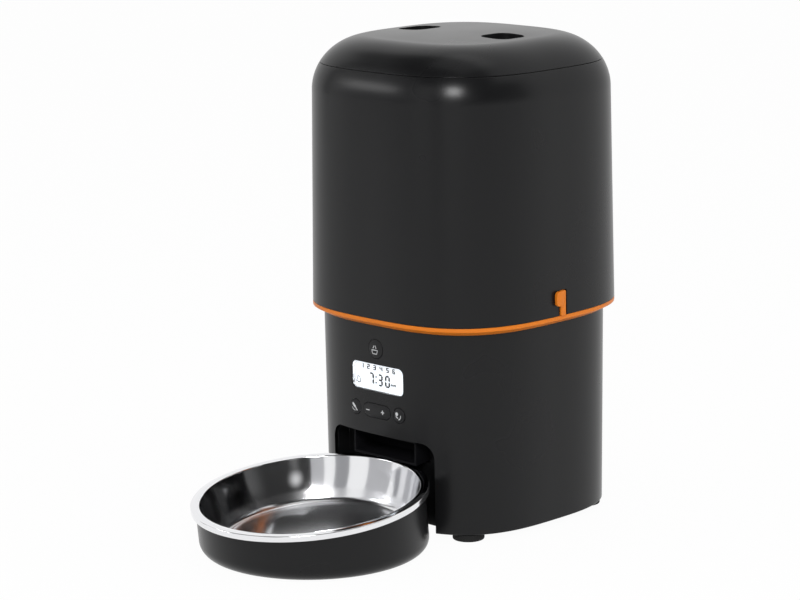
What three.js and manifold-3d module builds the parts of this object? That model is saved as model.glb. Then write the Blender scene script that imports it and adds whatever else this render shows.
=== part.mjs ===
// Countertop dry-food dispenser for cats and small dogs, in millimetres, +Z up.
// While it is drawn, the machine's upright axis is X = 0, Y = 0, its front faces -Y and the
// floor is Z = 0. At the end the whole assembly is moved so that the middle of its footprint
// is the origin.

import * as THREE from 'three';
import { mergeVertices } from 'three/addons/utils/BufferGeometryUtils.js';
import Module from 'manifold-3d';

const wasm = await Module();
wasm.setup();
const { Manifold, Mesh: SolidMesh } = wasm;

// Shared values
const clearance = 0.3;
const wall = 2.5;
const overrun = 10;
const sectionPower = 3;
const bodySteps = 40;
const roundSteps = 16;
const smallSteps = 12;
const hexSteps = 6;
const arcSteps = 4;
const cornerSteps = 2;

// Widths of the body: half-widths along X and Y, where the rounded square is flattest
const tankFootHalf = 90;
const tankTaper = 2;
const collarFlare = 6.7;
const baseTaper = 0.9;
const domeFootHalf = tankFootHalf - tankTaper;
const baseTopHalf = tankFootHalf - collarFlare;
const baseBottomHalf = baseTopHalf - baseTaper;

// Bowl and the tray that holds it
const rimRadius = 77.4;
const rimWidth = 5.8;
const rimInnerRadius = rimRadius - rimWidth;
const rimTilt = THREE.MathUtils.degToRad(5.9);
const rimDrop = 4.6;
const rimRounding = 1.3;
const bowlSheet = 0.8;
const bowlDraft = 1;
const bowlCornerRadius = 10;
const trayInset = 2.9;
const trayRadius = rimRadius - trayInset;
const trayWall = 1.5;
const trayFloor = 2.5;
const trayCornerRadius = 9;
const tongueHalfWidth = 12;
const tongueBottom = 5;
const tongueHeight = 6;

// Bay in the base front, where the bowl is docked: its width comes from the bowl
const bayWidthShare = 0.60336;
const bayHalfWidth = rimRadius * bayWidthShare;
const bayTop = 65;
const bayCornerRadius = 10;
const bayDepth = 19.3;
const bayBack = bayDepth - baseTopHalf;
const bowlGap = 3.6;
const bowlCentre = bayBack - bowlGap - rimRadius;

// Spout in the bay's back wall, and the bowl's rim below it
const spoutWidthShare = 0.621;
const spoutHalfWidth = bayHalfWidth * spoutWidthShare;
const spoutDrop = 1;
const spoutTop = bayTop - spoutDrop;
const spoutHeight = 16.5;
const spoutBottom = spoutTop - spoutHeight;
const spoutReach = 12.5;
const spoutMouth = bayBack - spoutReach;
const rimBelowSpout = 8.44;
const rimHeight = spoutBottom - rimBelowSpout;
const bowlLift = 10.06;
const bowlDepth = rimHeight - bowlLift;

// Heights of the front panel above the bay
const smallKeyRise = 16;
const smallKeyHeight = bayTop + smallKeyRise;
const displayRise = 13;
const displayBottom = smallKeyHeight + displayRise;
const displayHeight = 18.4;
const displayTop = displayBottom + displayHeight;
const feedKeyRise = 10.5;
const feedKeyHeight = displayTop + feedKeyRise;

// Heights of the base, the collar and the tank
const footHeight = 5.2;
const deckRise = 16.6;
const deckTop = feedKeyHeight + deckRise;
const collarHeight = 5.3;
const tankFoot = deckTop + collarHeight;
const tankHeight = 141.2;
const domeFoot = tankFoot + tankHeight;
const domeReach = 34;
const domeRise = 36;
const crownRise = 1.5;
const seamShare = 0.5167;
const lidSeam = domeFoot + domeRise * seamShare;

// Collar between base and tank
const collarLip = 2.2;
const collarSeatWidth = 7;
const locatorHeight = 4;
const locatorThickness = 2;

// Front panel
const displayHalfWidth = 23.9;
const displayRadius = 4;
const displayRecess = 1.5;
const windowFlange = 2.2;
const windowFlangeThickness = 1;
const lcdThickness = 2;
const boardThickness = 1.6;
const boardHalfWidth = 38;
const boardMargin = 8;
const boardTop = deckTop - boardMargin;
const boardBottom = smallKeyHeight - boardMargin;
const boardPostRadius = 2.5;
const boardPostInset = 4;
const chipHalfWidth = 9.5;
const matThickness = 1.4;
const matHalfWidth = 28;
const keyProud = 0.2;
const keyClearance = 0.25;
const keyFlange = 1.3;
const keyFlangeThickness = 0.8;
const feedKeyRadius = 6.4;
const smallKeyRadius = 5;
const smallKeySpacing = 20;
const rockerHalfWidth = 12.2;
const rockerRadius = 4.6;

// Underside: cover, feet, screws, batteries and speaker
const coverThickness = 3.6;
const footRadius = 10.5;
const footChamfer = 1.2;
const footInset = 25.4;
const footSpacing = baseBottomHalf - footInset;
const footPegRadius = 3;
const footPegHeight = 2.6;
const screwInset = 6.6;
const screwSpacingX = baseBottomHalf - screwInset;
const screwSpacingY = 22;
const screwHeadRadius = 3;
const screwHeadHeight = 1.8;
const screwShankRadius = 1.5;
const screwLength = 16;
const bossRadius = 4.2;
const bossHeight = 24;
const batteryWidthShare = 0.4;
const batteryLengthShare = 0.631;
const batteryBackInset = 11.6;
const batteryHalfWidth = baseBottomHalf * batteryWidthShare;
const batteryBack = baseBottomHalf - batteryBackInset;
const batteryFront = batteryBack - 2 * baseBottomHalf * batteryLengthShare;
const batteryHeight = 35.5;
const batteryWall = 1.8;
const doorLap = 4;
const doorThickness = 1.8;
const doorRecess = 2.2;
const doorTravel = 8;
const doorGripLength = 24;
const doorGripWidth = 6;
const doorGripDepth = 0.9;
const contactThickness = 0.6;
const contactMargin = 4;
const speakerShare = 0.19;
const speakerRadius = baseBottomHalf * speakerShare;
const speakerRim = 2;
const speakerGap = 3.8;
const speakerX = -(batteryHalfWidth + doorLap + speakerGap + speakerRadius);
const speakerY = 0;
const speakerDepth = 7;
const speakerMagnetRadius = 8;
const speakerMagnetDepth = 5;
const speakerHoleRadius = 1.4;
const speakerHoleRing = 8;
const speakerHoleCount = 6;

// Power inlet at the back, above the battery box
const jackRadius = 3.9;
const jackBoreRadius = 2.9;
const jackBoreDepth = 9;
const jackPinRadius = 1;
const jackBodyHalf = 5.5;
const jackBodyLength = 12;
const jackGap = 4.2;
const jackHeight = footHeight + coverThickness + batteryHeight + jackGap + jackBodyHalf;

// Drive
const driveTeeth = 36;
const pinionTeeth = 12;
const gearModule = 1;
const rootDepthShare = 1.25;
const gearBacklash = 0.3;
const gearWidth = 7;
const pinionExtra = 1;
const pressureAngle = Math.PI / 9;
const gearboxDrop = 23.5;
const gearboxTop = deckTop - gearboxDrop;
const gearboxHeight = 16;
const gearboxWall = 1.6;
const gearboxHalfWidth = 24;
const gearboxCoverThickness = 2;
const gearboxPostRadius = 3.5;
const gearboxPostX = 20;
const gearboxPostFront = -4;
const gearboxPostBack = 29;
const shaftRadius = 4;
const shaftLift = 1.2;
const couplerRadius = 5.8;
const couplerReach = 10;
const couplerDrop = 9.5;
const couplerStart = deckTop - couplerDrop;
const deckHoleRadius = 9;
const motorRadius = 12.5;
const motorLength = 34;
const motorBossRadius = 5;
const motorBossHeight = 1.4;
const motorShaftRadius = 1.5;

// Tank: funnel, rotor chamber and rotor
const chamberRadius = 50;
const chamberRise = 2.5;
const chamberFloor = tankFoot + chamberRise;
const chamberFloorThickness = 2;
const rotorGap = 1;
const rotorRadius = chamberRadius - rotorGap;
const rotorHubRadius = 10;
const rotorLift = 0.7;
const rotorBottom = chamberFloor + rotorLift;
const rotorHeight = 28;
const rotorTop = rotorBottom + rotorHeight;
const couplerTop = rotorBottom + couplerReach;
const chamberHeadroom = 6;
const chamberTop = rotorTop + chamberHeadroom;
const funnelRise = 54;
const funnelTop = chamberTop + funnelRise;
const funnelWall = 2.2;
const outletHalfWidth = 22;
const outletMargin = 7;
const outletFront = outletMargin - chamberRadius;
const outletBack = -(rotorHubRadius + outletMargin);
const hubHoleRadius = 7.5;
const vaneThickness = 3;
const vaneCount = 6;
const socketDepth = 11;
const coneRadius = 13;
const coneRim = 1.5;
const coneHeight = 12;
const conePegRadius = 4;
const conePegDepth = 6;
const baffleThickness = 2;
const baffleReachShare = 0.36;
const baffleInnerRadius = 15;

// Food chute, from below the outlet to the spout
const chuteWall = 1.6;
const chuteFrontMargin = 5;
const chuteBackMargin = 3;
const chuteInletFront = outletFront - chuteFrontMargin;
const chuteInletBack = outletBack + chuteBackMargin;
const chuteLipReach = 6;
const chuteLipDepth = bayBack + chuteLipReach;
const chuteLipRise = 2;
const chuteLipHeight = spoutBottom + chuteLipRise;
const chuteKneeRise = 12;
const chuteKneeFront = spoutTop + chuteKneeRise;
const chuteBackRise = 4;
const chuteKneeBack = spoutTop + chuteBackRise;
const chuteKneeMargin = 20.8;

// Release tabs at the sides of the tank
const tabHeadFront = -8.6;
const tabHeadBack = -2.2;
const tabHeadRise = 6.8;
const tabHeadHeight = 9.8;
const tabHeadBottom = tankFoot + tabHeadRise;
const tabHeadTop = tabHeadBottom + tabHeadHeight;
const tabHeadRadius = 2.6;
const tabProud = 2;
const tabStemFront = -3.4;
const tabStemBack = 1.1;
const tabStemRadius = 1;
const tabStemProud = 0.8;
const tabTravel = 2;
const tabSlotBack = tabStemBack + tabTravel + clearance;

// Lid
const wellHalfX = 11.7;
const wellHalfY = 13.2;
const wellRadius = 8.5;
const wellDepth = 12.5;
const wellWall = 1.8;
const wellGap = 1.1;
const desiccantRadius = 21.5;
const desiccantWall = 1.8;
const wellSpacing = desiccantRadius + desiccantWall + wellGap + wellWall + wellHalfX;
const latchTravel = 2;
const latchLength = 5.5;
const latchHalfWidth = 8;
const latchDrop = 4;
const latchTailHalf = 5.5;
const latchTailLength = 11;
const latchTailHeight = 4.5;
const plateDrop = 4.6;
const plateThickness = 2.4;
const plateMargin = 2.2;
const gasketHeight = 2.6;
const desiccantDrop = 0.7;
const desiccantLip = 3;
const desiccantLipThickness = 1.6;
const capThickness = 2.4;
const capHoleCount = 6;
const capHoleRing = 13;
const capHoleRadius = 3;
const capRibHalf = 1.2;
const capRibHeight = 3;

// Finishes
const finishes = {
  charcoal: { color: 0x222224, roughness: 0.42, metalness: 0 },
  innerBlack: { color: 0x161617, roughness: 0.6, metalness: 0 },
  orange: { color: 0xe27c26, roughness: 0.45, metalness: 0 },
  clearSmoke: { color: 0xf4f6f8, roughness: 0.1, metalness: 0 },
  displayWhite: { color: 0xf2f4f6, roughness: 0.5, metalness: 0 },
  boardGreen: { color: 0x1e5a34, roughness: 0.6, metalness: 0 },
  silicone: { color: 0xb9bcc0, roughness: 0.8, metalness: 0 },
  rubber: { color: 0x1a1a1a, roughness: 0.9, metalness: 0 },
  steel: { color: 0xc9ccd0, roughness: 0.15, metalness: 1 },
  zinc: { color: 0xa5a8ac, roughness: 0.35, metalness: 1 },
  nylon: { color: 0xe6e2d8, roughness: 0.55, metalness: 0 },
  fleece: { color: 0xe9e7e1, roughness: 0.95, metalness: 0 },
};

// Derived places
const baseHeight = deckTop - footHeight;
const seamSine = (lidSeam - domeFoot) / domeRise;
const seamAngle = Math.asin(seamSine);
const domeTop = domeFoot + domeRise;
const coverTop = footHeight + coverThickness;
const driveRadius = driveTeeth * gearModule / 2;
const pinionRadius = pinionTeeth * gearModule / 2;
const motorY = driveRadius + pinionRadius;
const gearboxBottom = gearboxTop - gearboxHeight;
const gearboxFront = -(driveRadius + gearModule + gearboxWall + clearance * 2);
const gearboxBack = motorY + motorRadius;
const chuteKneeBackDepth = gearboxFront - chuteKneeMargin;

// Half-width of the base casing at a height, from its two ends
function baseHalfAt(z) {
  const share = (z - footHeight) / baseHeight;
  return baseBottomHalf + (baseTopHalf - baseBottomHalf) * share;
}

// Half-width of the tank casing below its dome
function tankHalfAt(z) {
  const share = (z - tankFoot) / (domeFoot - tankFoot);
  return tankFootHalf + (domeFootHalf - tankFootHalf) * share;
}

// Distance of a rounded-square wall from the X axis, at a distance x from the Y axis
function flatReach(half, x) {
  const share = Math.abs(x / half) ** sectionPower;
  return half * (1 - share) ** (1 / sectionPower);
}

// Half-width of the dome at an angle up its quarter arc, and its height there
function domePoint(angle, inset) {
  const radius = domeFootHalf - domeReach + (domeReach - inset) * Math.cos(angle);
  return [radius, domeFoot + (domeRise - inset) * Math.sin(angle)];
}

function domeArc(fromAngle, toAngle, steps, inset) {
  const points = [];
  for (let step = 0; step <= steps; step += 1) {
    const angle = fromAngle + (toAngle - fromAngle) * step / steps;
    points.push(domePoint(angle, inset));
  }
  return points;
}

// A closed three.js geometry as a solid that can be joined and cut
function solid(geometry) {
  const bare = geometry.index ? geometry.toNonIndexed() : geometry.clone();
  bare.deleteAttribute('normal');
  bare.deleteAttribute('uv');
  const merged = mergeVertices(bare);
  const corners = [];
  const indices = merged.index.array;
  for (let i = 0; i < indices.length; i += 3) {
    const [a, b, c] = [indices[i], indices[i + 1], indices[i + 2]];
    if (a !== b && b !== c && c !== a) corners.push([a, b, c]);
  }
  const places = merged.attributes.position;
  const at = (index) => new THREE.Vector3().fromBufferAttribute(places, index);
  const volume = corners.reduce((sum, [a, b, c]) => sum + at(a).dot(at(b).cross(at(c))), 0);
  const triangles = volume < 0 ? corners.map(([a, b, c]) => [a, c, b]) : corners;
  return new Manifold(new SolidMesh({
    numProp: 3,
    vertProperties: new Float32Array(places.array),
    triVerts: new Uint32Array(triangles.flat()),
  }));
}

// A solid's triangles as a three.js geometry
function geometryOf(body) {
  const { vertProperties, triVerts, numProp } = body.getMesh();
  const positions = new Float32Array(vertProperties.length / numProp * 3);
  for (let vertex = 0; vertex * numProp < vertProperties.length; vertex += 1) {
    for (let axis = 0; axis < 3; axis += 1) {
      positions[vertex * 3 + axis] = vertProperties[vertex * numProp + axis];
    }
  }
  const geometry = new THREE.BufferGeometry();
  geometry.setAttribute('position', new THREE.BufferAttribute(positions, 3));
  geometry.setIndex(new THREE.BufferAttribute(new Uint32Array(triVerts), 1));
  geometry.computeVertexNormals();
  return geometry;
}

// A profile of [radius, height] points turned about Z
function turnedGeometry(profile, steps) {
  const points = profile.map(([radius, height]) => new THREE.Vector2(radius, height));
  return new THREE.LatheGeometry(points, steps).rotateX(Math.PI / 2);
}

function turned(profile, steps = roundSteps) {
  return solid(turnedGeometry(profile, steps));
}

// The same, pushed out to a rounded square: |x|^n + |y|^n is constant at each height.
// Between two radii the section changes from round to rounded square.
function squared(profile, roundWithin = 0, squareBeyond = 0) {
  const geometry = turnedGeometry(profile, bodySteps);
  const places = geometry.attributes.position;
  for (let i = 0; i < places.count; i += 1) {
    const x = places.getX(i);
    const y = places.getY(i);
    const radius = Math.hypot(x, y);
    if (radius > 0) {
      const powers = Math.abs(x / radius) ** sectionPower + Math.abs(y / radius) ** sectionPower;
      const span = squareBeyond - roundWithin;
      const share = span > 0 ? THREE.MathUtils.clamp((radius - roundWithin) / span, 0, 1) : 1;
      const scale = 1 + share * (powers ** (-1 / sectionPower) - 1);
      places.setXY(i, x * scale, y * scale);
    }
  }
  return solid(geometry);
}

// A profile that ends where it starts, for rings and shells
function loop(profile) {
  return [...profile, profile[0]];
}

// Points of a circular arc, in [radius, height]
function arc(centre, radius, fromAngle, toAngle, steps = arcSteps) {
  const points = [];
  for (let step = 0; step <= steps; step += 1) {
    const angle = fromAngle + (toAngle - fromAngle) * step / steps;
    points.push([centre[0] + radius * Math.cos(angle), centre[1] + radius * Math.sin(angle)]);
  }
  return points;
}

// A block between two corners
function block(low, high) {
  const size = high.map((value, axis) => value - low[axis]);
  const geometry = new THREE.BoxGeometry(...size);
  geometry.translate(...low.map((value, axis) => value + size[axis] / 2));
  return solid(geometry);
}

// An upright round bar
function post(x, y, radius, bottom, top, steps = smallSteps) {
  const geometry = new THREE.CylinderGeometry(radius, radius, top - bottom, steps);
  geometry.rotateX(Math.PI / 2);
  geometry.translate(x, y, (bottom + top) / 2);
  return solid(geometry);
}

// A round bar that runs along Y
function barAlongY(x, z, radius, front, back, steps = smallSteps) {
  const geometry = new THREE.CylinderGeometry(radius, radius, back - front, steps);
  geometry.translate(x, (front + back) / 2, z);
  return solid(geometry);
}

function roundedOutline(left, bottom, right, top, radius) {
  const outline = new THREE.Shape();
  outline.absarc(right - radius, bottom + radius, radius, -Math.PI / 2, 0);
  outline.absarc(right - radius, top - radius, radius, 0, Math.PI / 2);
  outline.absarc(left + radius, top - radius, radius, Math.PI / 2, Math.PI);
  outline.absarc(left + radius, bottom + radius, radius, Math.PI, Math.PI * 3 / 2);
  outline.closePath();
  return outline;
}

function extrusion(outline, depth, curveSegments = cornerSteps) {
  return new THREE.ExtrudeGeometry(outline, { depth, bevelEnabled: false, curveSegments });
}

// A flat outline in X and Y, raised along Z
function plate(outline, bottom, top) {
  return solid(extrusion(outline, top - bottom).translate(0, 0, bottom));
}

// A flat outline in X and Z, carried along Y from front to back
function slabAlongY(outline, front, back) {
  const geometry = extrusion(outline, back - front);
  geometry.rotateX(Math.PI / 2);
  geometry.translate(0, back, 0);
  return solid(geometry);
}

// A flat outline in Y and Z, carried along X to both sides of the middle
function slabAlongX(points, halfWidth) {
  const outline = new THREE.Shape(points.map(([y, z]) => new THREE.Vector2(y, z)));
  const geometry = extrusion(outline, 2 * halfWidth).translate(0, 0, -halfWidth);
  const turn = new THREE.Matrix4().makeBasis(
    new THREE.Vector3(0, 1, 0),
    new THREE.Vector3(0, 0, 1),
    new THREE.Vector3(1, 0, 0),
  );
  return solid(geometry.applyMatrix4(turn));
}

function joined(first, ...rest) {
  return rest.reduce((sum, next) => sum.add(next), first);
}

function cut(first, ...rest) {
  return rest.reduce((sum, next) => sum.subtract(next), first);
}

const assembly = new THREE.Group();

function addPiece(name, finish, body, parent = assembly) {
  const mesh = new THREE.Mesh(geometryOf(body), new THREE.MeshStandardMaterial(finishes[finish]));
  mesh.name = name;
  parent.add(mesh);
}

// Base casing

function bayOutline(grow) {
  const side = bayHalfWidth + grow;
  const crown = bayTop + grow;
  const radius = bayCornerRadius + grow;
  const outline = new THREE.Shape();
  outline.moveTo(-side, -overrun);
  outline.lineTo(side, -overrun);
  outline.absarc(side - radius, crown - radius, radius, 0, Math.PI / 2);
  outline.absarc(-side + radius, crown - radius, radius, Math.PI / 2, Math.PI);
  outline.closePath();
  return outline;
}

function bayVolume(grow) {
  return slabAlongY(bayOutline(grow), -tankFootHalf - overrun, bayBack + grow);
}

function spoutHole() {
  const outline = roundedOutline(
    -spoutHalfWidth - clearance,
    spoutBottom - clearance,
    spoutHalfWidth + clearance,
    spoutTop + clearance,
    clearance,
  );
  return slabAlongY(outline, bayBack - overrun, bayBack + wall + overrun);
}

// The layers behind the front panel start where they clear its curved inside at the outer keys
const displayMiddle = (displayTop + displayBottom) / 2;
const panelFace = -baseHalfAt(displayMiddle);
const layersReach = smallKeySpacing + smallKeyRadius + keyFlange;
const windowBack = clearance - flatReach(baseHalfAt(smallKeyHeight) - wall, layersReach);
const lcdFront = windowBack + windowFlangeThickness + clearance;
const boardFront = lcdFront + lcdThickness + clearance;
const matFront = boardFront - matThickness - clearance;
const keyFlangeFront = windowBack;

function displayOutline(grow) {
  return roundedOutline(
    -displayHalfWidth - grow,
    displayBottom - grow,
    displayHalfWidth + grow,
    displayTop + grow,
    displayRadius + grow,
  );
}

function rockerOutline(grow) {
  return roundedOutline(
    -rockerHalfWidth - grow,
    smallKeyHeight - rockerRadius - grow,
    rockerHalfWidth + grow,
    smallKeyHeight + rockerRadius + grow,
    rockerRadius + grow,
  );
}

function panelHoles() {
  const front = panelFace - overrun;
  const back = panelFace + overrun;
  const smallHole = smallKeyRadius + keyClearance;
  return [
    slabAlongY(displayOutline(0), front, back),
    slabAlongY(rockerOutline(keyClearance), front, back),
    barAlongY(0, feedKeyHeight, feedKeyRadius + keyClearance, front, back, roundSteps),
    barAlongY(-smallKeySpacing, smallKeyHeight, smallHole, front, back, roundSteps),
    barAlongY(smallKeySpacing, smallKeyHeight, smallHole, front, back, roundSteps),
  ];
}

function boardPosts() {
  const x = boardHalfWidth - boardPostInset;
  const heights = [boardBottom + boardPostInset, boardTop - boardPostInset];
  const root = -flatReach(baseHalfAt(displayMiddle) - wall / 2, x);
  return heights.flatMap((z) => [-x, x].map((side) => (
    barAlongY(side, z, boardPostRadius, root, boardFront - clearance))));
}

// The four places at two X and two Y: left front, left back, right front, right back
function fourPlaces(xs, ys) {
  return xs.flatMap((x) => ys.map((y) => [x, y]));
}

const screwPlaces = fourPlaces([-screwSpacingX, screwSpacingX], [-screwSpacingY, screwSpacingY]);
const footPlaces = fourPlaces([-footSpacing, footSpacing], [-footSpacing, footSpacing]);
const gearboxPostPlaces = fourPlaces(
  [-gearboxPostX, gearboxPostX],
  [gearboxPostFront, gearboxPostBack],
);

// What lies within the base's walls, less a gap
function baseInside(gap, bottom) {
  return squared([
    [0, bottom],
    [baseHalfAt(bottom) - wall - gap, bottom],
    [baseHalfAt(deckTop - wall) - wall - gap, deckTop - wall],
    [0, deckTop - wall],
  ]);
}

function baseHousing() {
  const outer = squared([
    [0, footHeight],
    [baseBottomHalf, footHeight],
    [baseTopHalf, deckTop],
    [0, deckTop],
  ]);
  const screwBosses = screwPlaces.map(([x, y]) => (
    post(x, y, bossRadius, coverTop + clearance, coverTop + bossHeight).intersect(outer)));
  const gearboxPosts = gearboxPostPlaces.map(([x, y]) => (
    post(x, y, gearboxPostRadius, gearboxTop + clearance, deckTop - wall / 2)));
  const shell = joined(
    cut(outer, baseInside(0, footHeight - overrun)),
    ...screwBosses,
    ...gearboxPosts,
    ...boardPosts(),
  );
  const screwPilots = screwPlaces.map(([x, y]) => (
    post(x, y, screwShankRadius + clearance, footHeight, footHeight + screwLength + wall)));
  const inlet = block(
    [-spoutHalfWidth - clearance, chuteInletFront - clearance, deckTop - wall - overrun],
    [spoutHalfWidth + clearance, chuteInletBack + clearance, deckTop + overrun],
  );
  return cut(
    shell,
    bayVolume(0),
    ...panelHoles(),
    ...screwPilots,
    inlet,
    post(0, 0, deckHoleRadius, deckTop - wall - overrun, deckTop + overrun, roundSteps),
    barAlongY(0, jackHeight, jackRadius + clearance, baseTopHalf - overrun, baseTopHalf + overrun),
  );
}

// The bay's side, top and back walls, a separate lining behind the opening in the base front
function bayLiner() {
  const walls = bayVolume(wall).intersect(baseInside(clearance, footHeight));
  return cut(walls, bayVolume(0), spoutHole());
}

addPiece('base_housing', 'charcoal', baseHousing());
addPiece('bay_liner', 'charcoal', bayLiner());

// Collar: it sits on the deck, flares out to the tank and centres it

function collarRing() {
  const bottom = deckTop + clearance;
  const top = tankFoot - clearance;
  const locatorOuter = tankFootHalf - wall - clearance;
  return squared(loop([
    [baseTopHalf - collarSeatWidth, bottom],
    [baseTopHalf + clearance, bottom],
    [tankFootHalf, top - collarLip],
    [tankFootHalf, top],
    [locatorOuter, top],
    [locatorOuter, top + locatorHeight],
    [locatorOuter - locatorThickness, top + locatorHeight],
    [locatorOuter - locatorThickness, top],
    [baseTopHalf - collarSeatWidth, top],
  ]));
}

addPiece('collar_ring', 'orange', collarRing());

// Release tabs: an orange flag on a stem that stands on the collar in a slot of the tank

function releaseTab(side) {
  const inner = tankFootHalf - wall + clearance;
  const face = tankFootHalf + clearance;
  const flag = (outline, near, far) => slabAlongX(
    outline.getPoints(cornerSteps).map((point) => [point.x, point.y]),
    (far - near) / 2,
  ).translate([(far + near) / 2, 0, 0]);
  const stem = flag(
    roundedOutline(tabStemFront, tankFoot, tabStemBack, tabHeadTop, tabStemRadius),
    inner,
    face + tabStemProud,
  );
  const head = flag(
    roundedOutline(tabHeadFront, tabHeadBottom, tabHeadBack, tabHeadTop, tabHeadRadius),
    face,
    face + tabProud,
  );
  const tab = joined(stem, head);
  return side > 0 ? tab : tab.scale([-1, 1, 1]);
}

function tabSlot(side) {
  const low = Math.min(side * (tankFootHalf - wall - overrun), side * (tankFootHalf + overrun));
  const high = Math.max(side * (tankFootHalf - wall - overrun), side * (tankFootHalf + overrun));
  return block(
    [low, tabStemFront - clearance, tankFoot - overrun],
    [high, tabSlotBack, tabHeadTop + clearance],
  );
}

addPiece('release_tab_right', 'orange', releaseTab(1));
addPiece('release_tab_left', 'orange', releaseTab(-1));

// Tank: casing, funnel with the rotor chamber, baffle

function tankHood() {
  const outer = [[tankFootHalf, tankFoot], ...domeArc(0, seamAngle, arcSteps, 0)];
  const inner = [[tankFootHalf - wall, tankFoot], ...domeArc(0, seamAngle, arcSteps, wall)];
  const rim = inner.map(([radius, z]) => [radius, Math.min(z, lidSeam)]).reverse();
  return cut(squared(loop([...outer, ...rim])), tabSlot(1), tabSlot(-1));
}

function hopperFunnel() {
  const half = tankHalfAt(funnelTop) - wall - clearance;
  const floor = chamberFloor - chamberFloorThickness;
  const body = squared([
    [0, floor],
    [chamberRadius + funnelWall, floor],
    [chamberRadius + funnelWall, chamberTop],
    [half, funnelTop - wall],
    [half, funnelTop],
    [half - funnelWall, funnelTop],
    [chamberRadius, chamberTop],
    [chamberRadius, chamberFloor],
    [0, chamberFloor],
  ], chamberRadius + funnelWall, half);
  const outlet = block(
    [-outletHalfWidth, outletFront, floor - overrun],
    [outletHalfWidth, outletBack, chamberFloor + overrun],
  );
  return cut(body, outlet, post(0, 0, hubHoleRadius, floor - overrun, chamberFloor + overrun));
}

function foodBaffle() {
  const reach = Math.PI * baffleReachShare;
  const middle = -Math.PI / 2;
  const outline = new THREE.Shape();
  const outer = chamberRadius - clearance;
  outline.absarc(0, 0, outer, middle - reach, middle + reach);
  outline.absarc(0, 0, baffleInnerRadius, middle + reach, middle - reach, true);
  outline.closePath();
  const bottom = rotorTop + clearance * 2;
  const geometry = extrusion(outline, baffleThickness, smallSteps);
  return solid(geometry.translate(0, 0, bottom));
}

addPiece('tank_hood', 'charcoal', tankHood());
addPiece('hopper_funnel', 'innerBlack', hopperFunnel());
addPiece('food_baffle', 'innerBlack', foodBaffle());

// Rotor: a six-pocket wheel that carries portions to the outlet, with a cone on its hub

function hexBar(radius, bottom, top) {
  return post(0, 0, radius, bottom, top, hexSteps);
}

function rotorWheel() {
  const hub = post(0, 0, rotorHubRadius, rotorBottom, rotorTop, roundSteps);
  const vanes = [];
  for (let index = 0; index < vaneCount / 2; index += 1) {
    const angle = index * 2 * Math.PI / vaneCount;
    const geometry = new THREE.BoxGeometry(2 * rotorRadius, vaneThickness, rotorTop - rotorBottom);
    geometry.translate(0, 0, (rotorTop + rotorBottom) / 2);
    vanes.push(solid(geometry.rotateZ(angle)));
  }
  const rim = post(0, 0, rotorRadius, rotorBottom, rotorTop, bodySteps);
  const socket = hexBar(couplerRadius + clearance, rotorBottom - overrun, rotorBottom + socketDepth);
  const conePocket = post(0, 0, conePegRadius + clearance, rotorTop - conePegDepth - clearance,
    rotorTop + overrun);
  return cut(joined(hub, ...vanes).intersect(rim), socket, conePocket);
}

function rotorCone() {
  const bottom = rotorTop + clearance;
  return turned([
    [0, rotorTop - conePegDepth],
    [conePegRadius, rotorTop - conePegDepth],
    [conePegRadius, bottom],
    [coneRadius, bottom],
    [coneRadius, bottom + coneRim],
    [0, bottom + coneHeight],
  ]);
}

addPiece('rotor_wheel', 'nylon', rotorWheel());
addPiece('rotor_cone', 'nylon', rotorCone());

// Lid: cover with two finger wells, sprung latches, inner plate, gasket, desiccant cartridge

const wellFloor = domeTop - wellDepth;

function wellVolume(side, grow, bottom, top) {
  const middle = side * wellSpacing;
  const outline = roundedOutline(
    middle - wellHalfX - grow,
    -wellHalfY - grow,
    middle + wellHalfX + grow,
    wellHalfY + grow,
    wellRadius + grow,
  );
  return plate(outline, bottom, top);
}

function latchWindow(side) {
  const wellInner = wellSpacing - wellHalfX;
  const near = side * (wellInner - wellWall - overrun);
  const far = side * (wellInner + wellWall);
  return block(
    [Math.min(near, far), -latchTailHalf - clearance, wellFloor],
    [Math.max(near, far), latchTailHalf + clearance, wellFloor + latchTailHeight + clearance * 2],
  );
}

function lidCover() {
  const foot = lidSeam + clearance;
  const footAngle = Math.asin((foot - domeFoot) / domeRise);
  const outer = [
    ...domeArc(footAngle, Math.PI / 2, 2 * arcSteps, 0),
    [0, domeTop + crownRise],
  ];
  const innerFoot = Math.asin((foot - domeFoot) / (domeRise - wall));
  const inner = [
    [0, domeTop - wall],
    ...domeArc(Math.PI / 2, innerFoot, arcSteps, wall),
  ];
  const solidDome = squared([[0, foot], ...outer]);
  const shell = squared([...inner, ...outer]);
  const wells = [1, -1].map((side) => (
    wellVolume(side, wellWall, wellFloor - wellWall, domeTop + overrun).intersect(solidDome)));
  const hollows = [1, -1].map((side) => wellVolume(side, 0, wellFloor, domeTop + overrun));
  return cut(joined(shell, ...wells), ...hollows, latchWindow(1), latchWindow(-1));
}

function lidLatch(side) {
  const start = wellSpacing - wellHalfX + clearance + latchTravel;
  const bottom = wellFloor + clearance;
  const top = domeTop - latchDrop;
  const button = block([start, -latchHalfWidth, bottom], [start + latchLength, latchHalfWidth, top])
    .intersect(wellVolume(1, -clearance, bottom, top).translate([latchTravel, 0, 0]));
  const tail = block(
    [start - latchTailLength, -latchTailHalf, bottom],
    [start + latchLength, latchTailHalf, bottom + latchTailHeight],
  );
  const latch = joined(button, tail);
  return side > 0 ? latch : latch.scale([-1, 1, 1]);
}

const plateTop = lidSeam - plateDrop + plateThickness;
const cupTop = wellFloor - desiccantDrop;
const seamInnerHalf = domePoint(seamAngle, wall)[0];
const plateHalf = seamInnerHalf - plateMargin;

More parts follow.
